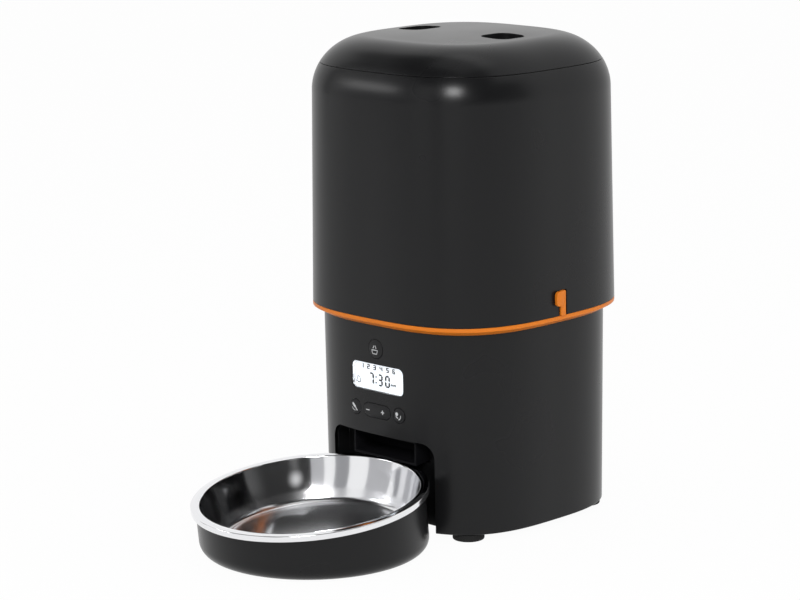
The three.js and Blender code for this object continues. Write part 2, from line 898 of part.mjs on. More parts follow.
function lidInnerPlate() {
  const flangeBottom = lidSeam + 2 * clearance;
  const flangeTop = flangeBottom + plateThickness;
  const flangeHalf = domePoint(Math.asin((flangeTop - domeFoot) / (domeRise - wall)), wall)[0];
  const body = squared([
    [0, plateTop - plateThickness],
    [plateHalf, plateTop - plateThickness],
    [plateHalf, flangeBottom],
    [flangeHalf - clearance, flangeBottom],
    [flangeHalf - clearance, flangeTop],
    [plateHalf - plateThickness, flangeTop],
    [plateHalf - plateThickness, plateTop],
    [0, plateTop],
  ]);
  const hole = post(0, 0, desiccantRadius + clearance, plateTop - overrun, plateTop + overrun,
    roundSteps);
  return cut(body, hole);
}

function lidGasket() {
  const top = lidSeam - clearance;
  return squared(loop([
    [plateHalf + clearance, top - gasketHeight],
    [seamInnerHalf - clearance, top - gasketHeight],
    [seamInnerHalf - clearance, top],
    [plateHalf + clearance, top],
  ]));
}

function desiccantCup() {
  const lipBottom = plateTop + clearance;
  const cupBottom = plateTop - plateThickness + clearance;
  return turned(loop([
    [desiccantRadius - desiccantWall, cupBottom],
    [desiccantRadius, cupBottom],
    [desiccantRadius, lipBottom],
    [desiccantRadius + desiccantLip, lipBottom],
    [desiccantRadius + desiccantLip, lipBottom + desiccantLipThickness],
    [desiccantRadius, lipBottom + desiccantLipThickness],
    [desiccantRadius, cupTop],
    [0, cupTop],
    [0, cupTop - desiccantWall],
    [desiccantRadius - desiccantWall, cupTop - desiccantWall],
  ]));
}

const capTop = plateTop - plateThickness - clearance;

function desiccantCap() {
  const radius = desiccantRadius + desiccantLip;
  const disc = post(0, 0, radius, capTop - capThickness, capTop, roundSteps);
  const rib = block(
    [-radius / 2, -capRibHalf, capTop - capThickness - capRibHeight],
    [radius / 2, capRibHalf, capTop - capThickness / 2],
  );
  const holes = [];
  for (let index = 0; index < capHoleCount; index += 1) {
    const angle = (index + 1 / 2) * 2 * Math.PI / capHoleCount;
    const x = capHoleRing * Math.cos(angle);
    const y = capHoleRing * Math.sin(angle);
    holes.push(post(x, y, capHoleRadius, capTop - overrun, capTop + overrun));
  }
  return joined(cut(disc, ...holes), rib);
}

function desiccantBag() {
  const radius = desiccantRadius - desiccantWall - clearance;
  const bottom = capTop + 2 * clearance;
  const top = cupTop - desiccantWall - clearance;
  const middle = (bottom + top) / 2;
  return turned([
    [0, bottom],
    [radius - (middle - bottom) / 2, bottom],
    [radius, middle],
    [radius - (middle - bottom) / 2, top],
    [0, top],
  ]);
}

addPiece('lid_cover', 'charcoal', lidCover());
addPiece('lid_latch_right', 'innerBlack', lidLatch(1));
addPiece('lid_latch_left', 'innerBlack', lidLatch(-1));
addPiece('lid_inner_plate', 'innerBlack', lidInnerPlate());
addPiece('lid_gasket', 'silicone', lidGasket());
addPiece('desiccant_cup', 'innerBlack', desiccantCup());
addPiece('desiccant_bag', 'fleece', desiccantBag());
addPiece('desiccant_cap', 'innerBlack', desiccantCap());

// Food chute: a bent duct from the deck to the spout above the bowl

function chuteOutline(inset, mouth, inlet) {
  const neckFoot = deckTop - 2 * wall;
  const front = bayBack + wall + clearance + inset;
  const lipSlope = (chuteLipHeight - spoutBottom) / (chuteLipDepth - spoutMouth);
  return [
    [chuteInletBack - inset, inlet],
    [chuteInletFront + inset, inlet],
    [chuteInletFront + inset, neckFoot],
    [front, chuteKneeFront],
    [front, spoutTop - inset],
    [mouth, spoutTop - inset],
    [mouth, spoutBottom + inset + lipSlope * (mouth - spoutMouth)],
    [chuteLipDepth - inset / 2, chuteLipHeight + inset],
    [chuteKneeBackDepth - inset, chuteKneeBack + inset / 2],
    [chuteInletBack - inset, neckFoot],
  ];
}

function foodChute() {
  const duct = slabAlongX(chuteOutline(0, spoutMouth, deckTop), spoutHalfWidth);
  const hollow = slabAlongX(
    chuteOutline(chuteWall, spoutMouth - overrun, deckTop + overrun),
    spoutHalfWidth - chuteWall,
  );
  return cut(duct, hollow);
}

addPiece('food_chute', 'innerBlack', foodChute());

// Front panel pieces

function displayWindow() {
  const front = panelFace + displayRecess;
  const pane = slabAlongY(displayOutline(-keyClearance), front, windowBack + windowFlangeThickness / 2);
  const flange = slabAlongY(displayOutline(windowFlange), windowBack,
    windowBack + windowFlangeThickness);
  return joined(pane, flange);
}

function lcdPanel() {
  return slabAlongY(displayOutline(windowFlange), lcdFront, lcdFront + lcdThickness);
}

function controlBoard() {
  const back = boardFront + boardThickness;
  const board = block([-boardHalfWidth, boardFront, boardBottom], [boardHalfWidth, back, boardTop]);
  const chip = block(
    [-chipHalfWidth, boardFront + boardThickness / 2, displayMiddle - chipHalfWidth],
    [chipHalfWidth, back + boardThickness, displayMiddle + chipHalfWidth],
  );
  return joined(board, chip);
}

function keyMat() {
  const bottom = smallKeyHeight - rockerRadius - keyFlange;
  const top = feedKeyHeight + feedKeyRadius + keyFlange / 2;
  const sheet = block([-matHalfWidth, matFront, bottom], [matHalfWidth, matFront + matThickness, top]);
  const window = slabAlongY(displayOutline(windowFlange + clearance), panelFace - overrun, boardFront);
  return cut(sheet, window);
}

function roundKey(x, z, radius) {
  const front = -flatReach(baseHalfAt(z), x) - keyProud;
  const cap = barAlongY(x, z, radius, front, keyFlangeFront + keyFlangeThickness / 2, roundSteps);
  const flange = barAlongY(x, z, radius + keyFlange, keyFlangeFront,
    keyFlangeFront + keyFlangeThickness, roundSteps);
  return joined(cap, flange);
}

function rockerKey() {
  const front = -baseHalfAt(smallKeyHeight) - keyProud;
  const cap = slabAlongY(rockerOutline(0), front, keyFlangeFront + keyFlangeThickness / 2);
  const flange = slabAlongY(rockerOutline(keyFlange / 2), keyFlangeFront,
    keyFlangeFront + keyFlangeThickness);
  return joined(cap, flange);
}

addPiece('display_window', 'clearSmoke', displayWindow());
addPiece('lcd_panel', 'displayWhite', lcdPanel());
addPiece('control_board', 'boardGreen', controlBoard());
addPiece('key_mat', 'silicone', keyMat());
addPiece('feed_key', 'charcoal', roundKey(0, feedKeyHeight, feedKeyRadius));
addPiece('record_key', 'charcoal', roundKey(-smallKeySpacing, smallKeyHeight, smallKeyRadius));
addPiece('call_key', 'charcoal', roundKey(smallKeySpacing, smallKeyHeight, smallKeyRadius));
addPiece('minus_plus_rocker', 'charcoal', rockerKey());

// Drive: motor, pinion, large gear, and the shaft whose hexagon turns the rotor

// Outline of a gear with involute flanks, one tooth centred on the +X direction
function gearOutline(teeth) {
  const pitch = teeth * gearModule / 2;
  const base = pitch * Math.cos(pressureAngle);
  const tip = pitch + gearModule;
  const root = pitch - gearModule * rootDepthShare;
  const involute = (radius) => {
    const angle = Math.acos(Math.min(base / radius, 1));
    return Math.tan(angle) - angle;
  };
  const halfTooth = Math.PI / (2 * teeth) - gearBacklash / (2 * pitch);
  const flank = [Math.max(root, base), pitch, tip].map((radius) => (
    [radius, halfTooth + involute(pitch) - involute(radius)]));
  const foot = [root, flank[0][1]];
  const side = root < base ? [foot, ...flank] : flank;
  const tooth = [...side.map(([radius, angle]) => [radius, -angle]), ...[...side].reverse()];
  const points = [];
  for (let index = 0; index < teeth; index += 1) {
    for (const [radius, angle] of tooth) {
      const turn = angle + index * 2 * Math.PI / teeth;
      points.push(new THREE.Vector2(radius * Math.cos(turn), radius * Math.sin(turn)));
    }
  }
  return new THREE.Shape(points);
}

const gearBottom = gearboxBottom + (gearboxHeight - gearboxWall - gearWidth) / 2;

function driveGear() {
  const gear = plate(gearOutline(driveTeeth), gearBottom, gearBottom + gearWidth);
  return cut(gear, post(0, 0, shaftRadius + clearance, gearBottom - overrun, gearboxTop));
}

function driveShaft() {
  const shaft = post(0, 0, shaftRadius, gearboxBottom + shaftLift, (couplerStart + couplerTop) / 2);
  return joined(shaft, hexBar(couplerRadius, couplerStart, couplerTop));
}

function motorPinion() {
  const geometry = extrusion(gearOutline(pinionTeeth), gearWidth + pinionExtra);
  geometry.rotateZ(Math.PI / pinionTeeth);
  geometry.translate(0, motorY, gearBottom - pinionExtra / 2);
  const shaft = post(0, motorY, motorShaftRadius,
    gearboxBottom - gearboxCoverThickness - clearance, gearBottom + gearWidth / 2);
  return joined(solid(geometry), shaft);
}

function gearboxBlock(inset, bottom, top) {
  const outline = roundedOutline(
    -gearboxHalfWidth + inset,
    gearboxFront + inset,
    gearboxHalfWidth - inset,
    gearboxBack - inset,
    gearboxPostRadius,
  );
  return plate(outline, bottom, top);
}

function gearboxCase() {
  const hollow = gearboxBlock(gearboxWall, gearboxBottom - overrun, gearboxTop - gearboxWall);
  const shaftHole = post(0, 0, shaftRadius + clearance, gearboxBottom, gearboxTop + overrun);
  return cut(gearboxBlock(0, gearboxBottom, gearboxTop), hollow, shaftHole);
}

function gearboxCover() {
  const top = gearboxBottom - clearance;
  const bottom = top - gearboxCoverThickness;
  const sheet = gearboxBlock(0, bottom, top);
  return cut(sheet, post(0, motorY, motorBossRadius + clearance, bottom - overrun, top + overrun));
}

function gearMotor() {
  const top = gearboxBottom - gearboxCoverThickness - 2 * clearance;
  const can = post(0, motorY, motorRadius, top - motorLength, top, roundSteps);
  const boss = post(0, motorY, motorBossRadius, top - motorBossHeight, top + motorBossHeight);
  const bore = post(0, motorY, motorShaftRadius + clearance, top - clearance, top + overrun);
  return cut(joined(can, boss), bore);
}

addPiece('drive_gear', 'nylon', driveGear());
addPiece('drive_shaft', 'zinc', driveShaft());
addPiece('motor_pinion', 'zinc', motorPinion());
addPiece('gearbox_case', 'innerBlack', gearboxCase());
addPiece('gearbox_cover', 'innerBlack', gearboxCover());
addPiece('gear_motor', 'zinc', gearMotor());

// Underside: cover, feet, screws, battery compartment and its sliding door, speaker

const doorSeat = footHeight + doorRecess;
const doorHalfWidth = batteryHalfWidth + doorLap;
const doorFront = batteryFront - doorLap;
const doorBack = batteryBack + doorLap;

function bottomCover() {
  const half = baseHalfAt(footHeight) - wall - clearance;
  const disc = squared([[0, footHeight], [half, footHeight], [half, coverTop], [0, coverTop]]);
  const opening = block(
    [-batteryHalfWidth, batteryFront, footHeight - overrun],
    [batteryHalfWidth, batteryBack, coverTop + overrun],
  );
  const recess = block(
    [-doorHalfWidth - clearance, doorFront - doorTravel - clearance, footHeight - overrun],
    [doorHalfWidth + clearance, doorBack + clearance, doorSeat],
  );
  const footHoles = footPlaces.map(([x, y]) => (
    post(x, y, footPegRadius + clearance, footHeight - overrun, footHeight + footPegHeight)));
  const screwHoles = screwPlaces.map(([x, y]) => joined(
    post(x, y, screwShankRadius + clearance, footHeight - overrun, coverTop + overrun),
    post(x, y, screwHeadRadius + clearance, footHeight - overrun,
      footHeight + screwHeadHeight + clearance),
  ));
  const soundHoles = [post(speakerX, speakerY, speakerHoleRadius, -overrun, coverTop + overrun)];
  for (let index = 0; index < speakerHoleCount; index += 1) {
    const angle = index * 2 * Math.PI / speakerHoleCount;
    const x = speakerX + speakerHoleRing * Math.cos(angle);
    const y = speakerY + speakerHoleRing * Math.sin(angle);
    soundHoles.push(post(x, y, speakerHoleRadius, -overrun, coverTop + overrun));
  }
  return cut(disc, bayVolume(wall + clearance), opening, recess, ...footHoles, ...screwHoles,
    ...soundHoles);
}

const cornerNames = ['front_left', 'back_left', 'front_right', 'back_right'];

function rubberFoot() {
  const seat = footHeight - clearance;
  return turned([
    [0, 0],
    [footRadius - footChamfer, 0],
    [footRadius, footChamfer],
    [footRadius, seat],
    [footPegRadius, seat],
    [footPegRadius, seat + footPegHeight],
    [0, seat + footPegHeight],
  ]);
}

function coverScrew() {
  const head = footHeight + clearance;
  return turned([
    [0, head],
    [screwHeadRadius, head],
    [screwHeadRadius, head + screwHeadHeight - clearance],
    [screwShankRadius, head + screwHeadHeight - clearance],
    [screwShankRadius, head + screwLength],
    [0, head + screwLength],
  ], smallSteps);
}

function batteryBox() {
  const bottom = coverTop + clearance;
  const outer = block(
    [-batteryHalfWidth - batteryWall, batteryFront - batteryWall, bottom],
    [batteryHalfWidth + batteryWall, batteryBack + batteryWall, bottom + batteryHeight],
  );
  const hollow = block(
    [-batteryHalfWidth, batteryFront, bottom - overrun],
    [batteryHalfWidth, batteryBack, bottom + batteryHeight - batteryWall],
  );
  return cut(outer, hollow);
}

function batteryContact(side) {
  const inner = batteryHalfWidth - clearance - contactThickness;
  const outer = batteryHalfWidth - clearance;
  const bottom = coverTop + clearance + contactMargin;
  return block(
    [Math.min(side * inner, side * outer), batteryFront + contactMargin, bottom],
    [Math.max(side * inner, side * outer), batteryBack - contactMargin,
      bottom + batteryHeight - 2 * contactMargin],
  );
}

function batteryDoor() {
  const top = doorSeat - clearance;
  const bottom = top - doorThickness;
  const door = block([-doorHalfWidth, doorFront, bottom], [doorHalfWidth, doorBack, top]);
  const grip = block(
    [-doorGripLength / 2, doorBack - 2 * doorGripWidth, bottom - overrun],
    [doorGripLength / 2, doorBack - doorGripWidth, bottom + doorGripDepth],
  );
  return cut(door, grip);
}

function speaker() {
  const bottom = coverTop + clearance;
  const cone = turned([
    [0, bottom + speakerRim],
    [speakerRadius - speakerRim, bottom],
    [speakerRadius, bottom],
    [speakerRadius, bottom + speakerRim],
    [speakerMagnetRadius, bottom + speakerDepth],
    [speakerMagnetRadius, bottom + speakerDepth + speakerMagnetDepth],
    [0, bottom + speakerDepth + speakerMagnetDepth],
  ]);
  return cone.translate([speakerX, speakerY, 0]);
}

addPiece('bottom_cover', 'charcoal', bottomCover());
footPlaces.forEach(([x, y], index) => {
  addPiece(`foot_${cornerNames[index]}`, 'rubber', rubberFoot().translate([x, y, 0]));
});
screwPlaces.forEach(([x, y], index) => {
  addPiece(`cover_screw_${cornerNames[index]}`, 'zinc', coverScrew().translate([x, y, 0]));
});
addPiece('battery_box', 'innerBlack', batteryBox());
addPiece('battery_contact_right', 'steel', batteryContact(1));
addPiece('battery_contact_left', 'steel', batteryContact(-1));
addPiece('battery_door', 'charcoal', batteryDoor());
addPiece('speaker', 'innerBlack', speaker());

// Power inlet: a round socket with its centre pin

function powerJack() {
  const face = baseHalfAt(jackHeight);
  const bodyBack = face - wall - clearance;
  const nose = barAlongY(0, jackHeight, jackRadius, bodyBack - clearance, face, roundSteps);
  const body = block(
    [-jackBodyHalf, bodyBack - jackBodyLength, jackHeight - jackBodyHalf],
    [jackBodyHalf, bodyBack, jackHeight + jackBodyHalf],
  );
  const bore = barAlongY(0, jackHeight, jackBoreRadius, face - jackBoreDepth, face + overrun);
  const pin = barAlongY(0, jackHeight, jackPinRadius, face - jackBoreDepth - clearance, face - wall / 2);
  return joined(cut(joined(nose, body), bore), pin);
}

addPiece('power_jack', 'innerBlack', powerJack());

// Tray and bowl: the bowl hangs by its rolled rim on the tray's sloping edge

const bowlHolder = new THREE.Group();
bowlHolder.position.set(0, bowlCentre, rimHeight);
bowlHolder.rotation.x = rimTilt;
assembly.add(bowlHolder);

function steelBowl() {
  const sheet = bowlSheet;
  const wallFoot = rimInnerRadius - bowlDraft;
  const cornerInner = [wallFoot - bowlCornerRadius, bowlCornerRadius - bowlDepth];
  const inside = arc(cornerInner, bowlCornerRadius, 0, -Math.PI / 2);
  const outside = arc(cornerInner, bowlCornerRadius + sheet, -Math.PI / 2, 0);
  return turned([
    [0, -bowlDepth - sheet],
    ...outside,
    [rimInnerRadius + sheet, -rimDrop],
    [rimRadius, -rimDrop],
    [rimRadius, -rimRounding],
    [rimRadius - rimRounding, 0],
    [rimInnerRadius + rimRounding, 0],
    [rimInnerRadius, -rimRounding],
    ...inside,
    [0, -bowlDepth],
  ], bodySteps);
}

// The tray leans with the bowl: each of its level sections moves back as it goes down
function bowlTray() {
  const top = rimHeight + overrun;
  const corner = [trayRadius - trayCornerRadius, trayCornerRadius];
  const innerRadius = trayCornerRadius - trayWall;
  const innerCorner = [corner[0], trayFloor + innerRadius];
  const profile = [
    [0, 0],
    ...arc(corner, trayCornerRadius, -Math.PI / 2, 0),
    [trayRadius, top],
    [trayRadius - trayWall, top],
    ...arc(innerCorner, innerRadius, 0, -Math.PI / 2),
    [0, trayFloor],
  ];
  const lean = new THREE.Matrix4().makeBasis(
    new THREE.Vector3(1, 0, 0),
    new THREE.Vector3(0, 1, 0),
    new THREE.Vector3(0, -Math.tan(rimTilt), 1),
  );
  const leaned = turnedGeometry(profile, bodySteps).applyMatrix4(lean);
  leaned.translate(0, bowlCentre + rimHeight * Math.tan(rimTilt), 0);
  const tongueMiddle = tongueBottom + tongueHeight / 2;
  const trayBack = bowlCentre + (rimHeight - tongueMiddle) * Math.tan(rimTilt) + trayRadius;
  const tongue = block(
    [-tongueHalfWidth, trayBack - trayWall, tongueBottom],
    [tongueHalfWidth, bayBack - clearance, tongueBottom + tongueHeight],
  );
  const reach = rimRadius + overrun;
  const above = new THREE.BoxGeometry(2 * reach, 2 * reach, rimHeight);
  above.translate(0, 0, rimHeight / 2 - rimDrop - clearance);
  above.rotateX(rimTilt);
  above.translate(0, bowlCentre, rimHeight);
  return cut(joined(solid(leaned), tongue), solid(above));
}

addPiece('steel_bowl', 'steel', steelBowl(), bowlHolder);
addPiece('bowl_tray', 'charcoal', bowlTray());

// The middle of the footprint becomes the origin
assembly.updateMatrixWorld(true);
const footprint = new THREE.Box3().setFromObject(assembly, true);
assembly.position.y = -(footprint.min.y + footprint.max.y) / 2;

export default assembly;
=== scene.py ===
# %% [markdown]
# # A dry-food dispenser for cats and small dogs
# The solids of the machine are already in place: a base with a docked steel bowl, an orange
# collar, a domed tank and its lid. This notebook dresses them for a studio picture. Most of the
# pieces that show are worked out again as fine surfaces, and the hidden ones keep their solids
# with softened edges. Every cell makes one piece or one finish, and says why it is made so.

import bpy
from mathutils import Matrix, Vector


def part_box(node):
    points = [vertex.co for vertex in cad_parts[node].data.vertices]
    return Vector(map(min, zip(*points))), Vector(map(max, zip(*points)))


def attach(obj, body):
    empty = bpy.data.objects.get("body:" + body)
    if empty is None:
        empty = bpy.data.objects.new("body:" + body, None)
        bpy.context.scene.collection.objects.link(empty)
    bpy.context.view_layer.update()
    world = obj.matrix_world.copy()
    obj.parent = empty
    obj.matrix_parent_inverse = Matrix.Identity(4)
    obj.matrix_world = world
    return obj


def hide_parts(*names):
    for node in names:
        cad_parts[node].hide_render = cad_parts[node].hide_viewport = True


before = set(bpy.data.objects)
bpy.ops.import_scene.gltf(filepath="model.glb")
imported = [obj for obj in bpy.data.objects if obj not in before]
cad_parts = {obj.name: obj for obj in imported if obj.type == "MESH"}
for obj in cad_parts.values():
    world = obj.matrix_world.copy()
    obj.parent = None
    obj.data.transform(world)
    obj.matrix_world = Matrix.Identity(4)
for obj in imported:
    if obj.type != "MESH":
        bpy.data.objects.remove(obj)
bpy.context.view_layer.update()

# %% [markdown]
# ## Units and the upright axis
# Shapes are drawn in millimetres about the machine's upright axis, because that is how a
# moulder's drawing gives them. One function turns them into metres in the shared frame. The axis
# is the middle of the tank, which is the same on all four sides.

# %% Units and the axis
import math

import bmesh
import bpy
import numpy as np
from mathutils import Matrix, Vector

MM = 0.001
tank_low, tank_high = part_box("tank_hood")
AXIS = np.array([0.0, (tank_low.y + tank_high.y) / 2, 0.0])


def in_frame(points):
    """Millimetres about the upright axis, as metres in the shared frame: scaled, then shifted."""
    return np.asarray(points, float) * MM + AXIS


def box_mm(node):
    """The lowest and highest corner of a solid, in millimetres about the upright axis."""
    low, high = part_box(node)
    return (np.array(low) - AXIS) / MM, (np.array(high) - AXIS) / MM


print("axis at", AXIS.round(5))

# %% [markdown]
# ## Surfaces from grids
# A moulded shell is one curve carried round an axis, so a grid of points describes it: one
# direction runs along the curve, the other round the axis. A helper joins neighbouring points
# with four-sided faces. Points that meet, at a pole or a seam, are merged, and the faces are
# turned outwards.

# %% Mesh helpers
def new_object(name, data):
    """An object that carries a mesh, a lamp or a camera, linked into the scene."""
    made = bpy.data.objects.new(name, data)
    bpy.context.scene.collection.objects.link(made)
    return made


def merge_points(mesh, join_flat=False):
    """Merges points in one place, joins the faces of a flat if asked, and turns faces outwards."""
    work = bmesh.new()
    work.from_mesh(mesh)
    bmesh.ops.remove_doubles(work, verts=work.verts, dist=1e-6)
    if join_flat:
        bmesh.ops.dissolve_limit(work, angle_limit=math.radians(0.5), verts=work.verts,
                                 edges=work.edges, delimit={"NORMAL"})
    bmesh.ops.recalc_face_normals(work, faces=work.faces)
    work.to_mesh(mesh)
    work.free()


def new_piece(name, points, faces):
    """A mesh object from points in millimetres, its doubles merged and its faces outwards."""
    mesh = bpy.data.meshes.new(name)
    mesh.from_pydata(in_frame(points).tolist(), [], [list(face) for face in faces])
    merge_points(mesh)
    return new_object(name, mesh)


def grid_faces(rows, columns, wrap_rows, wrap_columns):
    """Each face joins four neighbours of the grid: (i, j), (i+1, j), (i+1, j+1), (i, j+1)."""
    index = np.arange(rows * columns).reshape(rows, columns)
    if wrap_rows:
        index = np.vstack([index, index[:1]])
    if wrap_columns:
        index = np.hstack([index, index[:, :1]])
    corners = [index[:-1, :-1], index[1:, :-1], index[1:, 1:], index[:-1, 1:]]
    return np.stack(corners, axis=-1).reshape(-1, 4)


def smooth(piece, degrees=32):
    """Shades the piece smoothly, except across edges that turn by more than the angle."""
    piece.data.shade_smooth()
    piece.data.set_sharp_from_angle(angle=math.radians(degrees))
    return piece


# %% [markdown]
# ## The rounded square
# Seen from above, the machine isn't a square with round corners but one continuous curve:
# x and y to the third power add up to a constant. Its reach at an angle multiplies the radius of
# the profile, so that a profile drawn at the middle of a side is carried round all four.

# %% Carried profiles
ROUND_STEPS = 192
SQUARE = 3.0


def section_reach(angle):
    """Reach of the curve |x|^n + |y|^n = 1 at an angle: (|cos|^n + |sin|^n) to the -1/n."""
    return (np.abs(np.cos(angle)) ** SQUARE + np.abs(np.sin(angle)) ** SQUARE) ** (-1 / SQUARE)


def round_the_axis(profile, reach):
    """Each row [radius, height] becomes a ring: radius times reach, at equal angles."""
    steps = reach.shape[-1]
    angle = np.linspace(0, 2 * math.pi, steps, endpoint=False)
    radius = profile[:, :1] * reach
    height = np.repeat(profile[:, 1:], steps, axis=1)
    return np.stack([radius * np.cos(angle), radius * np.sin(angle), height], axis=-1)


def carried(name, profile, closed=False):
    """Rows of [radius, height] carried round the rounded square."""
    profile = np.asarray(profile, float)
    reach = section_reach(np.linspace(0, 2 * math.pi, ROUND_STEPS, endpoint=False))
    points = round_the_axis(profile, reach)
    return new_piece(name, points.reshape(-1, 3), grid_faces(len(profile), ROUND_STEPS, closed, True))


def eased(corners, rounding, closed=True, steps=5, hold=0.4):
    """Cuts each corner back by its rounding and bridges it with a parabola. A point just outside
    the bridge on each side holds the shading of the flat next to it."""
    corners = np.asarray(corners, float)
    rounding = np.broadcast_to(np.asarray(rounding, float), len(corners))
    t = np.linspace(0, 1, steps + 1)[:, None]
    chain = []
    for i, (corner, cut) in enumerate(zip(corners, rounding)):
        end = not closed and i in (0, len(corners) - 1)
        if end or cut <= 0:
            chain.append(corner[None])
            continue
        before = corners[i - 1] - corner
        after = corners[(i + 1) % len(corners)] - corner
        room = min(np.linalg.norm(before), np.linalg.norm(after)) / 2
        before = before / np.linalg.norm(before)
        after = after / np.linalg.norm(after)
        cut = min(cut, room * 0.98)
        keep = min(cut + hold, room)
        a, b = corner + before * cut, corner + after * cut
        bridge = (1 - t) ** 2 * a + 2 * t * (1 - t) * corner + t ** 2 * b
        chain.append(np.vstack([corner + before * keep, bridge, corner + after * keep]))
    return np.vstack(chain)


print("a rounded square reaches", section_reach(math.pi / 4).round(3), "at its corner")

# %% [markdown]
# ## Outlines, cutters and cuts
# Openings are cut as a toolmaker would cut them: an outline is carried straight through the
# wall, and its volume is taken away. The outline's corners are finely stepped, so that the edge
# of a window or a finger well stays round in close-up.

# %% Outlines and cuts
def arc(x, z, radius, angles):
    """Points on a circle: centre plus radius times cosine and sine of each angle."""
    return np.stack([x + radius * np.cos(angles), z + radius * np.sin(angles)], axis=-1)


def rounded_rectangle(left, bottom, right, top, radius, steps=10):
    """Four quarter circles at the corners, joined by straight sides."""
    turn = np.linspace(0, math.pi / 2, steps + 1)
    quarters = []
    places = [(right, bottom, -1), (right, top, 0), (left, top, 1), (left, bottom, 2)]
    for x, z, quarter in places:
        centre_x = x - math.copysign(radius, x - (left + right) / 2)
        centre_z = z - math.copysign(radius, z - (bottom + top) / 2)
        quarters.append(arc(centre_x, centre_z, radius, turn + quarter * math.pi / 2))
    return np.vstack(quarters)


def circle(x, z, radius, steps=64):
    """Points at equal angles all round."""
    return arc(x, z, radius, np.linspace(0, 2 * math.pi, steps, endpoint=False))


def prism(name, outline, near, far, along="y"):
    """Carries a flat outline along an axis from near to far, and closes both ends."""
    outline = np.asarray(outline, float)
    count = len(outline)
    flat = np.tile(outline, (2, 1))
    depth = np.repeat([near, far], count)
    columns = {
        "x": [depth, flat[:, 0], flat[:, 1]],
        "y": [flat[:, 0], depth, flat[:, 1]],
        "z": [flat[:, 0], flat[:, 1], depth],
    }[along]
    sides = grid_faces(2, count, False, True).tolist()
    ends = [list(range(count)), list(range(count, 2 * count))]
    return new_piece(name, np.stack(columns, axis=-1), sides + ends)


def side_prism(name, outline, side, near, far):
    """A prism across one side of the machine, on +X or -X, between two distances from the middle."""
    return prism(name, outline, *sorted((side * near, side * far)), "x")


def bake(piece):
    """Keeps what the modifiers make as the piece's own mesh."""
    depsgraph = bpy.context.evaluated_depsgraph_get()
    mesh = bpy.data.meshes.new_from_object(piece.evaluated_get(depsgraph))
    piece.modifiers.clear()
    piece.data = mesh
    return piece


def combine(piece, others, operation):
    """Cuts, joins or intersects the piece with the others, which are then deleted."""
    for other in others:
        step = piece.modifiers.new("cut", "BOOLEAN")
        step.operation = operation
        step.solver = "EXACT"
        step.object = other
        bake(piece)
        bpy.data.objects.remove(other)
    return piece


def dress(piece, node, body, material):
    """The piece takes the place of a solid, moves with its body and gets its finish."""
    piece.data.materials.clear()
    piece.data.materials.append(material)
    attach(piece, body)
    if node:
        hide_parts(node)
    return piece


print("cut helpers ready")

# %% [markdown]
# ## How a finish is built
# A finish is a chain of nodes that starts from the place on the piece, so nothing has to be
# unwrapped. The helpers add a node, make a cloudy noise, stretch a value to a range, and blend
# two shades of a colour.

# %% Node helpers
def feed(tree, node, inputs):
    """Gives each named input its number, or a link where the value is another node's output."""
    for key, value in inputs.items():
        if isinstance(value, bpy.types.NodeSocket):
            tree.links.new(value, node.inputs[key])
        else:
            node.inputs[key].default_value = value


def add(tree, kind, inputs):
    """A new shader node of a kind, with its inputs fed."""
    node = tree.nodes.new("ShaderNode" + kind)
    feed(tree, node, inputs)
    return node


def noise(tree, scale, detail=2.0):
    """A cloudy value over the piece, mostly near 0.5: the scale is clouds to a metre."""
    place = add(tree, "TexCoord", {})
    inputs = {"Vector": place.outputs["Object"], "Scale": scale, "Detail": detail}
    return add(tree, "TexNoise", inputs).outputs["Fac"]


def spread(tree, value, low, high, start=0.0, end=1.0):
    """Maps start to low and end to high, in a straight line between them."""
    inputs = {"Value": value, "From Min": start, "From Max": end, "To Min": low, "To Max": high}
    return add(tree, "MapRange", inputs).outputs["Result"]


def shades(tree, value, colour, dark, light):
    """Blends from the colour times dark to the colour times light, no channel above 1."""
    blend = add(tree, "Mix", {})
    blend.data_type = "RGBA"
    low, high = ((*[min(c * factor, 1) for c in colour], 1) for factor in (dark, light))
    feed(tree, blend, {"Factor": value, "A": low, "B": high})
    return blend.outputs["Result"]


def new_finish(name):
    """An empty finish, its node tree and its main shader."""
    material = bpy.data.materials.new(name)
    material.use_nodes = True
    return material, material.node_tree, material.node_tree.nodes["Principled BSDF"]


print("node helpers ready")

# %% [markdown]
# ## Satin plastic
# The shell is injection moulded in charcoal with a fine spark-eroded texture: it looks smooth
# from afar, but it spreads every highlight. A very fine noise drives a small bump, a broad one
# varies the gloss and the shade a little, and a rounded edge in the shading catches light as a
# real moulded edge does.

# %% Plastic finishes
def plastic(name, colour, roughness, specular, grain=1400.0, depth=0.02, edge=0.0006):
    """A moulded plastic: base colour, gloss that varies by a few hundredths, fine grain."""
    material, tree, shader = new_finish(name)
    broad = noise(tree, 14.0, 3.0)
    inputs = {"Strength": 0.25, "Distance": depth * MM, "Height": noise(tree, grain)}
    bump = add(tree, "Bump", inputs)
    if edge:
        rounded = add(tree, "Bevel", {"Radius": edge})
        rounded.samples = 4
        feed(tree, bump, {"Normal": rounded.outputs["Normal"]})
    feed(tree, shader, {
        "Specular IOR Level": specular,
        "Roughness": spread(tree, broad, roughness - 0.04, roughness + 0.05),
        "Base Color": shades(tree, broad, colour, 0.94, 1.06),
        "Normal": bump.outputs["Normal"],
    })
    return material


